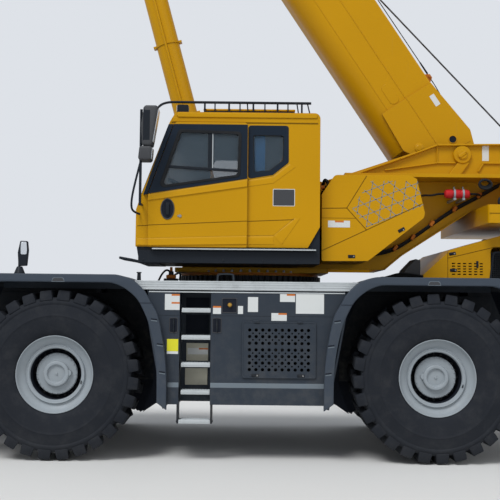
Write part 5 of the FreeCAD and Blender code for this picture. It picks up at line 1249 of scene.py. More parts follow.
class CRANE_OT_seat(bpy.types.Operator):
    """Build the padded driver's seat on its suspension box"""
    bl_idname = "crane.seat"
    bl_label = "Driver's seat"

    def execute(self, context):
        base = Form().block((0.04, SEAT_MIDDLE, 2.301), (0.33, 0.29, 0.058), 0.008)
        for level in range(7):
            inset = 0.024 if level % 2 else 0
            base.block((0.04, SEAT_MIDDLE, 2.35 + level * 0.032), (0.31 - inset, 0.27 - inset, 0.03), 0.008)
        shell = Form().block((0.03, SEAT_MIDDLE, 2.5735), (0.46, 0.44, 0.023), 0.006)
        for side in SIDES:
            shell.rod((0.2, SEAT_MIDDLE + side * 0.235, 2.62), (0.34, SEAT_MIDDLE + side * 0.235, 3.05),
                      0.016)
            shell.block((0.08, SEAT_MIDDLE + side * 0.29, 2.885), (0.28, 0.056, 0.05), 0.018, 3)
        pieces("upper", (base, "seat_bellows", "seal"), (shell, "seat_frame", "dark_plastic"))
        cushion = self.pad("seat_cushion_pad", (0.025, SEAT_MIDDLE, 2.638), (0.49, 0.49, 0.115), 0, 3)
        back = self.pad("seat_back_pad", (0.322, SEAT_MIDDLE, 2.97), (0.118, 0.47, 0.56), 11, 4)
        head = self.pad("seat_head_pad", (0.398, SEAT_MIDDLE, 3.268), (0.092, 0.28, 0.17), 11, 1)
        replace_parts(cushion, "driver_seat")
        return {"FINISHED"}

    def pad(self, name, centre, size, lean, channels):
        """A crowned cushion with sewn channels across it."""
        form = Form()
        verts = bmesh.ops.create_cube(form.mesh, size=1)["verts"]
        bmesh.ops.subdivide_edges(form.mesh, edges=form.mesh.edges[:], cuts=13, use_grid_fill=True)
        thin = min(range(3), key=lambda axis: size[axis])
        long = 2 if thin == 0 else 0
        for vert in form.mesh.verts:
            place = vert.co * 2
            others = [axis for axis in range(3) if axis != thin]
            edge = max(abs(place[axis]) for axis in others)
            crown = (1 - abs(place[others[0]]) ** 4) * (1 - abs(place[others[1]]) ** 4)
            seam = abs(sin((place[long] + 1) / 2 * channels * pi)) ** 0.35 if channels > 1 else 1
            vert.co[thin] *= 0.62 + 0.38 * crown * (0.72 + 0.28 * seam)
            for axis in others:
                vert.co[axis] *= 1 - 0.045 * (abs(place[thin]) ** 2) - 0.02 * (1 - abs(
                    place[others[0] if axis == others[1] else others[1]]) ** 2) * edge ** 6
        form.moved(Matrix.Translation(centre) @ Matrix.Rotation(radians(lean), 4,
                                                                "Y") @ Matrix.Diagonal((*size, 1)))
        made = form.piece(name, "upper", "fabric", 80)
        soften = made.modifiers.new("soften", "SUBSURF")
        soften.levels = soften.render_levels = 1
        return made


class CRANE_OT_shrouds(bpy.types.Operator):
    """Dress the side shrouds: panel joints, latches, a blank label and a plain lattice of lines"""
    bl_idname = "crane.shrouds"
    bl_label = "Side shrouds"

    def execute(self, context):
        joints, lattice = Form(), Form()
        area = ((1.29, 2.968), (1.79, 2.968), (1.85, 2.705), (1.243, 2.468), (1.085, 2.68))
        for side in SIDES:
            near, far = side * SHROUD_FACE, side * (SHROUD_FACE + 0.0015)
            for points in (((1.242, 3.02), (1.031, 2.674), (1.243, 2.44), (1.835, 2.728)),
                           ((1.243, 2.44), (0.768, 2.215)), ((0.768, 2.668), (1.031, 2.674))):
                joints.line(points, near, far, 0.008)
            joints.line(((0.768, 2.565), (1.125, 2.565)), near, far, 0.004)
            for start, end in self.lattice_lines(area, context.scene.crane_sizes.lattice_pitch):
                lattice.line((start, end), near, side * (SHROUD_FACE + 0.0008), 0.0075)
            latch_pair(f"shroud_latch_{'left' if side < 0 else 'right'}",
                       ((1.616, 2.444, -30), (1.084, 2.155, 0)), SHROUD_FACE, "upper", side)
        y = -SHROUD_FACE
        blank = Form().box((0.831, y - 0.001, 2.465), (1.066, y, 2.537))
        header = Form().box((0.905, y - 0.0014, 2.518), (1.0, y - 0.001, 2.537))
        pieces("upper", (joints, "shroud_joints", "seam"), (lattice, "shroud_lattice", "lattice"),
               (blank, "shroud_label", "white"), (header, "shroud_label_header", "orange"))
        return {"FINISHED"}

    def lattice_lines(self, area, pitch):
        """Three sets of parallel lines, cut off at the edges of the area."""
        for turn in (22, 82, 142):
            along = Vector((cos(radians(turn)), sin(radians(turn))))
            across = Vector((-along.y, along.x))
            levels = [across.dot(Vector(corner)) for corner in area]
            level = (int(min(levels) / pitch) + 0.5) * pitch
            while level < max(levels):
                found = []
                for index, corner in enumerate(area):
                    start, end = Vector(area[index - 1]), Vector(corner)
                    first, last = across.dot(start) - level, across.dot(end) - level
                    if first * last < 0:
                        found.append(start.lerp(end, first / (first - last)))
                if len(found) == 2 and (found[0] - found[1]).length > 0.05:
                    yield tuple(found[0]), tuple(found[1])
                level += pitch


class CRANE_OT_turntable(bpy.types.Operator):
    """Dress the turntable: stiffeners, pin lock, hoses, accumulator and the counterweight's eyes"""
    bl_idname = "crane.turntable"
    bl_label = "Turntable"

    def execute(self, context):
        ribs, locks = Form(), Form()
        for side in SIDES:
            face = side * TURNTABLE_FACE
            for points, depth, width, edge in (
                (((1.15, 3.128), (1.731, 3.336), (2.161, 3.5), (2.89, 3.512), (3.87, 3.345)), 0.045, 0.018,
                 0.003),
                (((2.161, 3.5), (2.161, 3.294)), 0.02, 0.012, 0.002),
                (((1.56, 3.205), (2.161, 3.294), (2.37, 3.296)), 0.022, 0.016, 0.003),
                (((2.64, 3.2), (2.7, 3.296), (3.5, 3.296)), 0.022, 0.016, 0.003),
                (((2.47, 3.3), (2.33, 3.112)), 0.03, 0.11, 0.004),
                (((1.56, 2.06), (1.744, 2.214), (2.189, 2.504), (2.56, 2.748), (3.895, 2.748)), 0.03, 0.016,
                 0.003),
                (((-0.25, 2.714), (1.093, 3.134)), 0.03, 0.016, 0.003),
            ):
                ribs.line(points, face, face + side * depth, width, edge)
            x, z = BOOM_PIVOT[0], BOOM_PIVOT[2]
            locks.spun([(radius, side * along) for radius, along in (
                (0, 0.056), (0.048, 0.056), (0.052, 0.05), (0.058, 0.05), (0.062, 0.044), (0.098, 0.042),
                (0.104, 0.034), (0.104, 0), (0, 0))], (x, side * 0.489, z), steps=40)
            locks.block((x, side * 0.546, z), (0.102, 0.012, 0.036), 0.004, lean=-35)
            locks.bolts([((x + 0.038 * way, side * 0.551, z + 0.027 * way), (0, side, 0)) for way in SIDES],
                        0.01, 0.007)
        plate = Form().box((2.688, -0.492, 3.325), (2.765, -0.4905, 3.505))
        pieces("upper", (ribs, "turntable_ribs", "yellow"), (locks, "pivot_locks", "yellow"),
               (plate, "turntable_label", "white"))
        self.hoses()
        self.weight()
        self.winch()
        return {"FINISHED"}

    def hoses(self):
        bottle, clamps = Form(), Form()
        y, z = -0.8, 2.898
        profile = [(0, 2.178), (0.03, 2.18), (0.048, 2.196), (0.052, 2.23), (0.052, 2.265), (0.044, 2.275),
                   (0.052, 2.285), (0.052, 2.35), (0.044, 2.36), (0.052, 2.37), (0.052, 2.425),
                   (0.046, 2.455),
                   (0.028, 2.468), (0, 2.47)]
        bottle.spun([(radius, x) for radius, x in profile], (0, y, z), "X", 28)
        bottle.piece("accumulator", "upper", "red", 40)
        for x in (2.29, 2.39):
            clamps.spun([(0.052, x - 0.011), (0.058, x - 0.011), (0.058, x + 0.011), (0.052, x + 0.011)],
                        (0, y, z), "X", 28, True)
            clamps.block((x, y + 0.1275, z - 0.0625), (0.03, 0.365, 0.025), 0.003)
            clamps.rod((x, y, z + 0.054), (x, y, z + 0.08), 0.008, sides=6)
        clamps.piece("accumulator_clamps", "upper", "rim")
        pipes("accumulator_lines", [
            [(2.47, y, z), (2.52, y, z), (2.56, -0.76, z + 0.005), (2.64, -0.6, z + 0.01), (2.66, -0.495, z)],
            [(2.178, y, z), (2.12, y, z), (2.04, -0.78, z - 0.02), (1.94, -0.74, z - 0.01),
             (1.86, -0.7, z - 0.04)],
        ], 0.012, "upper", "seal")
        route = ((2.86, 3.02), (2.62, 2.88), (2.34, 2.735), (2.08, 2.555), (1.86, 2.395), (1.66, 2.265),
                 (1.45, 2.21),
                 (1.2, 2.2))
        runs = [[(x, -0.545 - lane * 0.032, z + lane * 0.012) for x, z in route] for lane in range(3)]
        pipes("hose_run", runs, 0.013, "upper", "seal")
        grips = Form()
        for x, z in ((2.62, 2.895), (2.34, 2.735), (2.08, 2.565), (1.86, 2.405), (1.66, 2.28)):
            grips.box((x - 0.018, -0.492, z - 0.022), (x + 0.018, -0.63, z + 0.046), 0.004, lean=32)
        grips.piece("hose_grips", "upper", "primer")
        turns = []
        for turn in range(3):
            r = 0.058 + turn * 0.008
            coil = oval(2.6, 3.005 - 0.01 * turn, r, r * 0.72, 9, turn)
            turns.append([(x, -0.94 - turn * 0.018, z) for x, z in (*coil, coil[0])])
        pipes("hose_coil", turns, 0.012, "upper", "seal")
        pipes("cab_hoses", [
            [(0.735, -0.9, 2.9), (0.79, -1.1, 2.93), (0.8, -1.19, 3.0), (0.84, -1.2, 2.96),
             (0.86, -1.16, 2.86)],
            [(0.735, -0.8, 2.84), (0.8, -1.05, 2.86), (0.82, -1.15, 2.93), (0.86, -1.14, 2.9),
             (0.88, -1.08, 2.82)],
        ], 0.017, "upper", "seal")
        fitting = Form().box((0.742, -1.235, 2.865), (0.762, -1.165, 2.965), 0.003)
        fitting.rod((0.762, -1.2, 2.905), (0.8, -1.2, 2.905), 0.022).piece("cab_hose_bracket", "upper",
                                                                           "primer")

    def weight(self):
        seams, eyes, rear = Form(), Form(), Form()
        for side in SIDES:
            y = side * WEIGHT_FACE
            for points in (((2.575, 2.64), (4.135, 2.64)), ((3.3, 2.545), (3.3, 2.73))):
                seams.line(points, y, y + side * 0.002, 0.008)
            for x in (2.75, 3.95):
                eyes.spun(oval(0.048, 0, 0.014, 0.014, 8), (x, side * 1.14, 2.78), "Y", 24, True)
                eyes.block((x, side * 1.14, 2.739), (0.1, 0.07, 0.01), 0.003)
            for y in (1.1, 0.98):
                rear.block((4.154, side * y, 2.945), (0.008, 0.09, 0.09), 0.006)
        pieces("upper", (seams, "weight_joints", "seam"), (eyes, "lifting_eyes", "black", 50),
               (rear, "weight_markers", "red_lens"))

    def winch(self):
        coil, turns = Form(), 22
        for turn in range(turns):
            coil.spun(oval(0.213, -0.36 + turn * 0.72 / (turns - 1), 0.014, 0.016, 8), WINCH, "Y", 48, True)
        motor = Form().spun([(0, 0.4), (0.12, 0.4), (0.13, 0.41), (0.13, 0.445), (0, 0.448)], WINCH, "Y", 32)
        pieces("upper", (coil, "winch_rope_turns", "rope", 60), (motor, "winch_motor_cap", "primer"))


class CRANE_OT_hood(bpy.types.Operator):
    """Dress the engine hood: joints, latches, screens, grille, exhaust, handles and the gear before it"""
    bl_idname = "crane.hood"
    bl_label = "Engine hood"

    def execute(self, context):
        joints, mesh, frames = Form(), Form(), Form()
        for side in SIDES:
            near, far = side * HOOD_FACE, side * (HOOD_FACE + 0.0015)
            for points, width in ((((2.208, 2.24), (2.208, 2.171), (2.723, 2.297), (4.285, 2.31)), 0.007),
                                  (((2.208, 2.171), (2.208, 1.885)), 0.006),
                                  (((3.48, 2.3), (3.48, 1.885)), 0.006)):
                joints.line(points, near, far, width)
            outline = rounded([(2.668, 1.912), (3.346, 1.912), (3.346, 2.275), (2.71, 2.25)], 0.035)
            opening = rounded([(2.692, 1.936), (3.322, 1.936), (3.322, 2.252), (2.728, 2.228)], 0.025)
            frames.sheet(outline, near, side * (HOOD_FACE + 0.006), 0.002, hole=opening)
            for step in range(30):
                x = 2.7 + step * 0.0208
                mesh.rod((x, side * 0.842, 1.94), (x, side * 0.842, 2.246), 0.0028, sides=6)
            for step in range(14):
                z = 1.952 + step * 0.0212
                mesh.rod((2.695, side * 0.846, z), (3.32, side * 0.846, z), 0.0028, sides=6)
            hand = "left" if side < 0 else "right"
            latch_pair(f"hood_latch_{hand}", ((2.26, 2.221, -10), (2.27, 2.036, 0)), HOOD_FACE, "carrier",
                       side)
            Form().box((2.525, near, 2.066), (2.55, side * (HOOD_FACE + 0.007), 2.142), 0.003).piece(
                f"hood_catch_{hand}", "carrier", "black")
        grille, pipe = Form(), Form()
        for step in range(11):
            grille.block((4.296, 0, 1.9545 + step * 0.027), (0.012, 1.39, 0.009), 0.002)
        for y in (-0.35, 0, 0.35):
            grille.block((4.292, y, 2.085), (0.012, 0.02, 0.3), 0.002)
        for profile in (((0.062, 2.42), (0.062, 2.56), (0.058, 2.575), (0.05, 2.575), (0.05, 2.425)),
                        ((0.085, 2.425), (0.095, 2.43), (0.095, 2.44), (0.062, 2.446), (0.062, 2.425))):
            pipe.spun(profile, (3.52, 0.56, 0), "Z", 28, True)
        pieces("carrier", (joints, "hood_joints", "seam"), (mesh, "hood_screens", "black"),
               (frames, "hood_screen_frames", "black"), (grille, "radiator_grille", "black"),
               (pipe, "exhaust_stub", "steel"))
        handles = [[(x, side * 0.5, 2.418), (x, side * 0.5, 2.462), (x + 0.02, side * 0.5, 2.475),
                    (x + 0.16, side * 0.5, 2.475), (x + 0.18, side * 0.5, 2.462),
                    (x + 0.18, side * 0.5, 2.418)]
                   for side in (-1, 1) for x in (2.93, 3.85)]
        pipes("hood_handles", handles, 0.009, "carrier", "black")
        self.front_gear()
        return {"FINISHED"}

    def front_gear(self):
        """The dark wedge and the bundle of cables before the hood's nose."""
        wedge = Form()
        wedge.sheet([(1.72, 1.872), (1.93, 1.872), (1.93, 2.15), (1.88, 2.165), (1.76, 2.04)], -0.7, -0.28,
                    0.012)
        wedge.box((1.5, -0.62, 1.872), (1.73, -0.34, 1.965), 0.012)
        wedge.piece("battery_case", "carrier", "dark_plastic")
        route = ((1.42, 0.1, -0.015), (1.54, 0.05, 0.02), (1.7, 0, 0.07), (1.84, 0, 0.05), (1.94, 0, 0.03))
        runs = [[(x, across - 0.72 - lane * 0.024, up + 1.895 + (lane % 3) * 0.02) for x, across, up in route]
                for lane in range(6)]
        pipes("cable_bundle", runs, 0.011, "carrier", "seal")


class CRANE_OT_boom(bpy.types.Operator):
    """Dress the boom: weld lines, doublers, pads, hoist rope, guides and cylinder lines"""
    bl_idname = "crane.boom"
    bl_label = "Boom"

    def execute(self, context):
        self.plates()
        self.collars()
        self.ropes()
        self.cylinder()
        return {"FINISHED"}

    def plates(self):
        """Plates and seams of the base section. Local Y is towards the left for plus."""
        seams, plates, holes = Form(), Form(), Form()
        for side in SIDES:
            face, foot = side * BOOM_FACE, side * BOOM_FOOT_FACE
            for start, end, near, depth, width in (
                ((0.47, -0.392), (11.15, -0.392), face, 0.004, 0.01),
                ((0.94, -0.135), (11.15, -0.135), face, 0.004, 0.008),
                ((-0.1, -0.135), (0.915, -0.135), foot, 0.004, 0.008),
                ((0.09, 0.215), (0.11, -0.135), foot, 0.003, 0.006),
            ):
                seams.line((start, end), near, near + side * depth, width)
            plates.sheet(rounded([(0.94, -0.2), (1.2, -0.2), (1.2, -0.32), (0.94, -0.32)], 0.05), face,
                         face + side * 0.004, 0.002)
            plates.spun([(0, side * 0.016), (0.03, side * 0.016), (0.036, side * 0.012), (0.052, side * 0.01),
                         (0.056, 0), (0, 0)], (0.345, foot, -0.335), "Y", 28)
            # Dark discs in the foot holes: painted shade
            holes.spun([(0, side * 0.0012), (0.041, side * 0.0012), (0.041, 0), (0, 0)],
                       (0.215, foot, 0.052), "Y", 28)
            plates.spun([(0.042, side * 0.006), (0.05, side * 0.005), (0.052, 0), (0.042, 0)],
                        (0.215, foot, 0.052), "Y", 28, True)
        lug = Form().sheet([(0.92, 0.215), (1.06, 0.215), (1.02, 0.285), (0.97, 0.285)], 0.255, 0.275, 0.004)
        lug.rod((0.995, 0.18, 0.262), (0.995, 0.3, 0.262), 0.014, sides=14)
        blank = Form().box((0.646, 0.3601, 0.103), (0.792, 0.3612, 0.166))
        socket = Form().rod((1.04, 0.262, 0.265), (1.2, 0.262, 0.266), 0.012, 0.009, 12)
        for form, name, finish in ((seams, "boom_seams", "yellow"), (plates, "boom_doublers", "yellow"),
                                   (holes, "boom_foot_hole_shade", "recess"), (lug, "rope_lug", "primer"),
                                   (blank, "boom_label", "white"), (socket, "stay_socket", "black")):
            form.moved(BOOM).piece(name, "boom", finish)
        stay = [[(0.7, 0.262, 0.25), (0.86, 0.262, 0.262), (1.14, 0.262, 0.266), (2.9, 0.262, 0.262)]]
        pipes("boom_stay", stay, 0.006, "boom", "rope", 2, BOOM, 2)

    def collars(self):
        """Wear pads and bolts at the mouth of each tube but the last."""
        for level, body in enumerate(("boom", "tele_1", "tele_2", "tele_3")):
            mouth, half, top = 11.3 + level * 0.23, BOOM_FACE - level * 0.04, 0.22 - level * 0.04
            pads, bolts = Form(), Form()
            for side in SIDES:
                y = side * (half + 0.028)
                for z in (0.1, -0.12, -0.3):
                    pads.block((mouth - 0.045, y + side * 0.005, z), (0.054, 0.01, 0.09), 0.003)
                    bolts.bolts([((mouth - 0.045, y + side * 0.01, z + shift), (0, side, 0))
                                 for shift in (-0.026, 0.026)], 0.01, 0.007)
                pads.block((mouth - 0.045, side * 0.12, top + 0.032), (0.054, 0.08, 0.008), 0.003)
            pieces(body, (pads.moved(BOOM), f"collar_plates_{level}", "primer"),
                   (bolts.moved(BOOM), f"collar_bolts_{level}", "steel"))

    def ropes(self):
        """The hoist rope: drum to guide, then one straight run on each section up to the head."""
        line, guide = 0.29, 2.6
        runs = (("boom", guide, 11.3), ("tele_1", 3.9, 11.53), ("tele_2", 4.4, 11.76), ("tele_3", 4.9, 11.99),
                ("tele_4", 5.4, 12.89))
        for index, (body, low, high) in enumerate(runs):
            count = 24
            route = [(low + (high - low) * step / count, 0, line) for step in range(count + 1)]
            pipes(f"hoist_run_{index}", [route], 0.0105 - index * 0.0004, body, "rope", 2, BOOM, 2)
        drum = Vector((3.335, 0, 3.515))
        end = BOOM @ Vector((guide, 0, line))
        route = [tuple(drum.lerp(end, step / 32)) for step in range(33)]
        lead = pipes("hoist_lead", [route], 0.0105, None, "rope", 2, None, 2)
        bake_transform(lead)
        roller = Form()
        roller.spun([(0, -0.07), (0.034, -0.07), (0.034, -0.02), (0.026, 0), (0.034, 0.02), (0.034, 0.07),
                     (0, 0.07)], (guide, 0, line - 0.038), "Y", 24)
        for side in SIDES:
            roller.sheet([(guide - 0.07, 0.218), (guide + 0.07, 0.218), (guide + 0.03, 0.285),
                          (guide - 0.03, 0.285)],
                         side * 0.072, side * 0.084, 0.003)
        roller.moved(BOOM).piece("rope_guide", "boom", "primer")

    def cylinder(self):
        """Pipes along the lift cylinder, and its gland."""
        foot, pin = Vector((-0.41, 0, 2.52)), BOOM @ Vector((7.05, 0, -0.82))
        along = (pin - foot).normalized()
        across = Vector((along.z, 0, -along.x))
        lines = []
        for side in SIDES:
            shift = across * -0.02 + Vector((0, side * 0.155, 0))
            lines.append([tuple(foot + along * t + shift) for t in (0.3, 0.9, 2.0, 3.2, 3.72)])
        pipes("cylinder_lines", lines, 0.014, "lift_barrel", "yellow")
        clamps = Form()
        turn = between(foot, pin).to_3x3().to_4x4()
        for t in (0.55, 1.45, 2.35, 3.25):
            clamps.spun([(0.1405, t - 0.014), (0.15, t - 0.014), (0.15, t + 0.014), (0.1405, t + 0.014)],
                        (0, 0, 0), "Z", 36, True)
            for side in SIDES:
                clamps.box((-0.045, side * 0.135, t - 0.014), (0.045, side * 0.176, t + 0.014), 0.003)
        clamps.spun([(0.1405, 3.8), (0.158, 3.802), (0.158, 3.885), (0.146, 3.905), (0.0975, 3.905),
                     (0.0975, 3.895), (0.1405, 3.895)], (0, 0, 0), "Z", 48, True)
        clamps.moved(Matrix.Translation(foot) @ turn)
        clamps.piece("cylinder_bands", "lift_barrel", "yellow")


class CRANE_OT_hook(bpy.types.Operator):
    """Dress the hook block and the boom head"""
    bl_idname = "crane.hook"
    bl_label = "Hook and head"

    def execute(self, context):
        pin = BOOM @ Vector((12.64, 0, -0.83))
        x, z = pin.x, pin.z - 1.25
        nuts, head = Form(), Form()
        for side in SIDES:
            y = side * 0.0755
            nuts.bolts([((x + across, y, z + up), (0, side, 0)) for up in (0.15, -0.15) for across in (0.1,
                                                                                                       -0.1)],
                       0.016, 0.01)
            nuts.rod((x, y, z), (x, y + side * 0.022, z), 0.042, 0.038, 24)
            for along, up in ((12.64, -0.83), (12.89, 0.1)):
                head.rod((along, side * 0.229, up), (along, side * 0.25, up), 0.052, 0.048, 28)
                head.bolts([((along + 0.03 * cos(t), side * 0.25, up + 0.03 * sin(t)), (0, side, 0))
                            for t in (0.5, 2.6, 4.7)], 0.008, 0.006)
        nuts.piece("block_pins", "hook", "steel")
        lamp = Form().rod((12.3, 0.1, 0.19), (12.3, 0.1, 0.26), 0.03, 0.026, 20)
        pieces("tele_4", (head.moved(BOOM), "head_pin_caps", "steel"),
               (lamp.moved(BOOM), "head_beacon", "red_lens"))
        return {"FINISHED"}


class CRANE_OT_outriggers(bpy.types.Operator):
    """Dress the outriggers: box rims, float ribs and jack caps"""
    bl_idname = "crane.outriggers"
    bl_label = "Outriggers"

    def execute(self, context):
        rims = Form()
        for x in (-3.7, 3.15):
            for side in SIDES:
                y = side * 1.237
                for z in (0.757, 1.085):
                    rims.block((x + 0.25, y, z), (0.516, 0.03, 0.01), 0.003)
                for edge in (x - 0.005, x + 0.505):
                    rims.block((edge, y, 0.921), (0.01, 0.03, 0.338), 0.003)
        rims.piece("box_rims", "carrier", "black")
        for name, x, side in (("front_left", -3.57, -1), ("front_right", -3.33, 1), ("rear_left", 3.28, -1),
                              ("rear_right", 3.52, 1)):
            ribs, cap = Form(), Form()
            y = side * 1.355
            for c, s in oval(0, 0, 1, 1, 6):
                ribs.rod((x + 0.075 * c, y + 0.075 * s, 0.52), (x + 0.19 * c, y + 0.19 * s, 0.512), 0.008,
                         sides=6)
            ribs.spun([(0.205, 0.511), (0.212, 0.511), (0.212, 0.47), (0.205, 0.47)], (x, y, 0), "Z", 48,
                      True)
            ribs.piece(f"float_ribs_{name}", f"stand_{name}", "yellow")
            cap.spun([(0, 1.34), (0.07, 1.34), (0.085, 1.336), (0.09, 1.328), (0.09, 1.322), (0, 1.322)],
                     (x, y, 0), "Z", 36)
            cap.bolts([((x + 0.066 * cos(t), y + 0.066 * sin(t), 1.338), (0, 0, 1)) for t in
                       (0.4, 1.45, 2.5, 3.55, 4.6, 5.65)], 0.01, 0.008)
            cap.piece(f"jack_cap_{name}", f"reach_{name}", "yellow")
        return {"FINISHED"}


class CRANE_OT_lamps(bpy.types.Operator):
    """Build the front and rear lamps, tow plates, bumper slots, the plate holder and the corner mirror"""
    bl_idname = "crane.lamps"
    bl_label = "Lamps and tow gear"

    def execute(self, context):
        bezels, bulbs, lenses = Form(), Form(), Form()
        for y in (-1.06, -0.85, 0.85, 1.06):
            bezels.spun([(0.066, -3.8155), (0.072, -3.8225), (0.086, -3.8225), (0.092, -3.812),
                         (0.092, -3.808),
                         (0.066, -3.808)], (0, y, 1.035), "X", 40, True)
            lenses.spun([(0, -3.8205), (0.04, -3.8185), (0.07, -3.8125), (0.07, -3.809), (0, -3.809)],
                        (0, y, 1.035), "X", 40)
        bezels.piece("headlamp_bezels", "carrier", "black")
        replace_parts(lenses.piece("headlamp_lenses", "carrier", "clear_lens", 60), "lamps")
        slots, hooks, amber, stop, white, base = (Form() for _ in range(6))
        # Dark strips across the bumper: painted shade in its slots
        for step in range(5):
            slots.block((-3.81275, 0, 0.915 + step * 0.062), (0.0065, 1.2, 0.03), 0.003)
        holder = Form().box((-3.822, -0.26, 1.165), (-3.8095, 0.26, 1.245), 0.003)
        for x, z in ((-3.818, 0.86), (4.318, 1.14)):
            for y in (-0.42, 0.42):
                hooks.block((x, y, z), (0.012, 0.14, 0.1), 0.004)
        for side in SIDES:
            base.box((4.309, side * 0.905, 1.185), (4.318, side * 1.185, 1.305), 0.003)
            for form, low, high in ((stop, 1.05, 1.175), (amber, 0.975, 1.046), (white, 0.915, 0.971)):
                form.box((4.318, side * low, 1.195), (4.343, side * high, 1.295), 0.008, 2)
            amber.box((-3.817, side * 1.165, 0.99), (-3.8095, side * 1.225, 1.08), 0.002)
        pieces("carrier", (slots, "bumper_slot_shade", "recess"), (holder, "plate_holder", "dark_plastic"),
               (hooks, "tow_plates", "steel"), (base, "tail_lamp_bases", "black"),
               (stop, "stop_lenses", "red_lens"),
               (amber, "turn_lenses", "amber_lens"), (white, "reverse_lenses", "clear_lens"))
        self.corner_mirror()
        return {"FINISHED"}

    def corner_mirror(self):
        """The tall mirror in its boot on the front arch."""
        boot = Form().rod((-2.403, -1.5, 1.9305), (-2.403, -1.5, 2.004), 0.058, 0.028, 24, 0.004)
        boot.rod((-2.407, -1.5, 2.0), (-2.407, -1.5, 2.08), 0.013, sides=12)
        outline = ((-2.398, 2.272), (-2.326, 2.27), (-2.315, 2.175), (-2.328, 2.012), (-2.412, 2.008),
                   (-2.422, 2.15))
        shell = Form().sheet(rounded(outline, 0.012, 3), -1.472, -1.526, 0.006, 2)
        outline = ((-2.388, 2.262), (-2.332, 2.26), (-2.325, 2.175), (-2.33, 2.13), (-2.388, 2.13),
                   (-2.391, 2.19))
        glass = Form().sheet(rounded(outline, 0.01, 3), -1.5262, -1.5282)
        pieces("carrier", (boot, "corner_mirror_boot", "black"), (shell, "corner_mirror_shell", "black", 50),
               (glass, "corner_mirror_glass", "mirror"))


class CRANE_OT_underside(bpy.types.Operator):
    """Build the drive shafts, the gearbox and the axle bolts below the deck"""
    bl_idname = "crane.underside"
    bl_label = "Underside"

    def execute(self, context):
        bolts, shafts = Form(), Form()
        radius = context.scene.crane_sizes.bolt_radius
        for x in (-2.015, 1.96):
            for along, circle, count, start, rise in ((0.196, 0.11, 8, 0, 0.01),
                                                      (0.0905, 0.245, 16, 0.1, 0.008)):
                bolts.bolts([((x + along, y, z), (1, 0, 0)) for y, z in
                             oval(0, AXLE_Z, circle, circle, count, start)], radius, rise)
        for start, end in (((-1.815, 0, 0.89), (-0.55, 0, 1.02)), ((1.7, 0, 0.89), (0.75, 0, 1.02))):
            shafts.rod(start, end, 0.045, sides=20)
            for at in (start, end):
                shafts.ball(at, 0.07)
        shafts.rod((-0.55, 0, 1.02), (0.75, 0, 1.02), 0.15, sides=24, edge=0.03)
        pieces("carrier", (bolts, "axle_bolts", "steel"), (shafts, "drive_shafts", "black"))
        return {"FINISHED"}


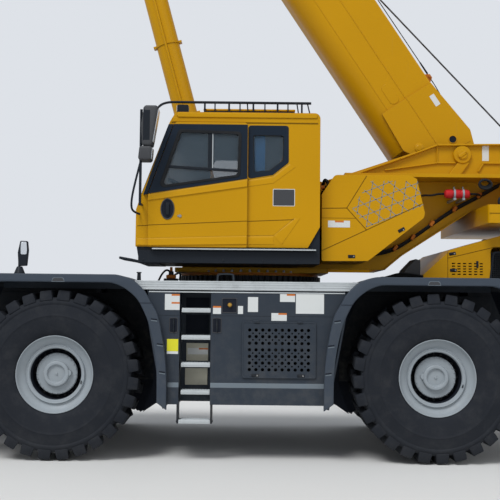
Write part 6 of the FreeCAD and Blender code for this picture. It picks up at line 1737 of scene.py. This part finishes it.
class CRANE_OT_stage(bpy.types.Operator):
    """Set the pale floor, the soft lamps, the world and the camera"""
    bl_idname = "crane.stage"
    bl_label = "Stage"

    def execute(self, context):
        scene = context.scene
        scene.view_settings.view_transform = "Standard"
        self.floor()
        self.world(scene)
        for name, strength, spread, tilt, turn in (("key", 2.1, 24, 38, -32), ("fill", 0.5, 60, 62, 58)):
            data = bpy.data.lights.new(name, "SUN")
            data.energy = strength
            data.angle = radians(spread)
            lamp = bpy.data.objects.new(name, data)
            lamp.matrix_world = Matrix.Rotation(radians(turn), 4, "Z") @ Matrix.Rotation(radians(tilt), 4,
                                                                                         "X")
            scene.collection.objects.link(lamp)
        data = bpy.data.cameras.new("view")
        data.sensor_fit = "HORIZONTAL"
        data.sensor_width = 36
        data.lens = scene.crane_sizes.lens
        data.clip_end = 300
        camera = bpy.data.objects.new("view", data)
        camera.matrix_world = (Matrix.Translation((0, -11.06, 1.65)) @ Matrix.Rotation(radians(93.3), 4, "X")
                               @ Matrix.Rotation(radians(0.6), 4, "Z"))
        scene.collection.objects.link(camera)
        scene.camera = camera
        return {"FINISHED"}

    def floor(self):
        f = Finish("pale_floor")
        grain = f.noise(60, 5, 0.6)
        broad = f.noise(0.5, 3)
        material = f.finish({
            "Base Color": f.mix(grain * 0.25 + broad * 0.2, linear(214, 214, 212), linear(196, 196, 195)),
            "Roughness": 0.9,
            "Normal": f.bump(grain, 0.002, 0.3),
        })
        mesh = bmesh.new()
        bmesh.ops.create_grid(mesh, x_segments=1, y_segments=1, size=60)
        data = bpy.data.meshes.new("floor")
        mesh.to_mesh(data)
        mesh.free()
        floor = bpy.data.objects.new("floor", data)
        data.materials.append(material)
        bpy.context.scene.collection.objects.link(floor)

    def world(self, scene):
        """An even pale sky for the camera and for gloss, and a plain level of light."""
        scene.world = bpy.data.worlds.new("studio")
        sky = Nodes(scene.world)
        rays = [sky.node("ShaderNodeLightPath", output=f"Is {kind} Ray") for kind in ("Camera",
                                                                                      "Transmission")]
        seen = sky.node("ShaderNodeMath", {"operation": "MAXIMUM"}, dict(enumerate(rays)))
        light = sky.node("ShaderNodeBackground", {}, {"Color": (0.86, 0.9, 0.96, 1), "Strength": 0.62})
        view = sky.node("ShaderNodeBackground", {}, {"Color": (*linear(222, 226, 232), 1)})
        both = sky.node("ShaderNodeMixShader", {}, {0: seen, 1: light, 2: view})
        sky.node("ShaderNodeOutputWorld", {}, {"Surface": both})


OPERATORS = (
    CRANE_OT_stage, CRANE_OT_finishes, CRANE_OT_tyres, CRANE_OT_wheels, CRANE_OT_fenders, CRANE_OT_cabinets,
    CRANE_OT_steps, CRANE_OT_deck, CRANE_OT_slewing, CRANE_OT_cab, CRANE_OT_seat, CRANE_OT_shrouds,
    CRANE_OT_turntable, CRANE_OT_hood, CRANE_OT_boom, CRANE_OT_hook, CRANE_OT_outriggers, CRANE_OT_lamps,
    CRANE_OT_underside,
)


class CRANE_PT_dressing(bpy.types.Panel):
    """Buttons and values of the crane's dressing"""
    bl_label = "Crane"
    bl_idname = "CRANE_PT_dressing"
    bl_space_type = "VIEW_3D"
    bl_region_type = "UI"
    bl_category = "Crane"

    def draw(self, context):
        for group in (context.scene.crane_sizes, context.scene.crane_colours):
            for name in group.__annotations__:
                self.layout.prop(group, name)
        for operator in OPERATORS:
            self.layout.operator(operator.bl_idname)


CLASSES = (CraneSizes, CraneColours, *OPERATORS, CRANE_PT_dressing)


def register():
    for kind in CLASSES:
        bpy.utils.register_class(kind)
    bpy.types.Scene.crane_sizes = bpy.props.PointerProperty(type=CraneSizes)
    bpy.types.Scene.crane_colours = bpy.props.PointerProperty(type=CraneColours)


def unregister():
    del bpy.types.Scene.crane_colours
    del bpy.types.Scene.crane_sizes
    for kind in reversed(CLASSES):
        bpy.utils.unregister_class(kind)


def main():
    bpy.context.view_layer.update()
    register()
    for operator in OPERATORS:
        name = operator.bl_idname.split(".")[1]
        getattr(bpy.ops.crane, name)()


if __name__ == "__main__":
    main()
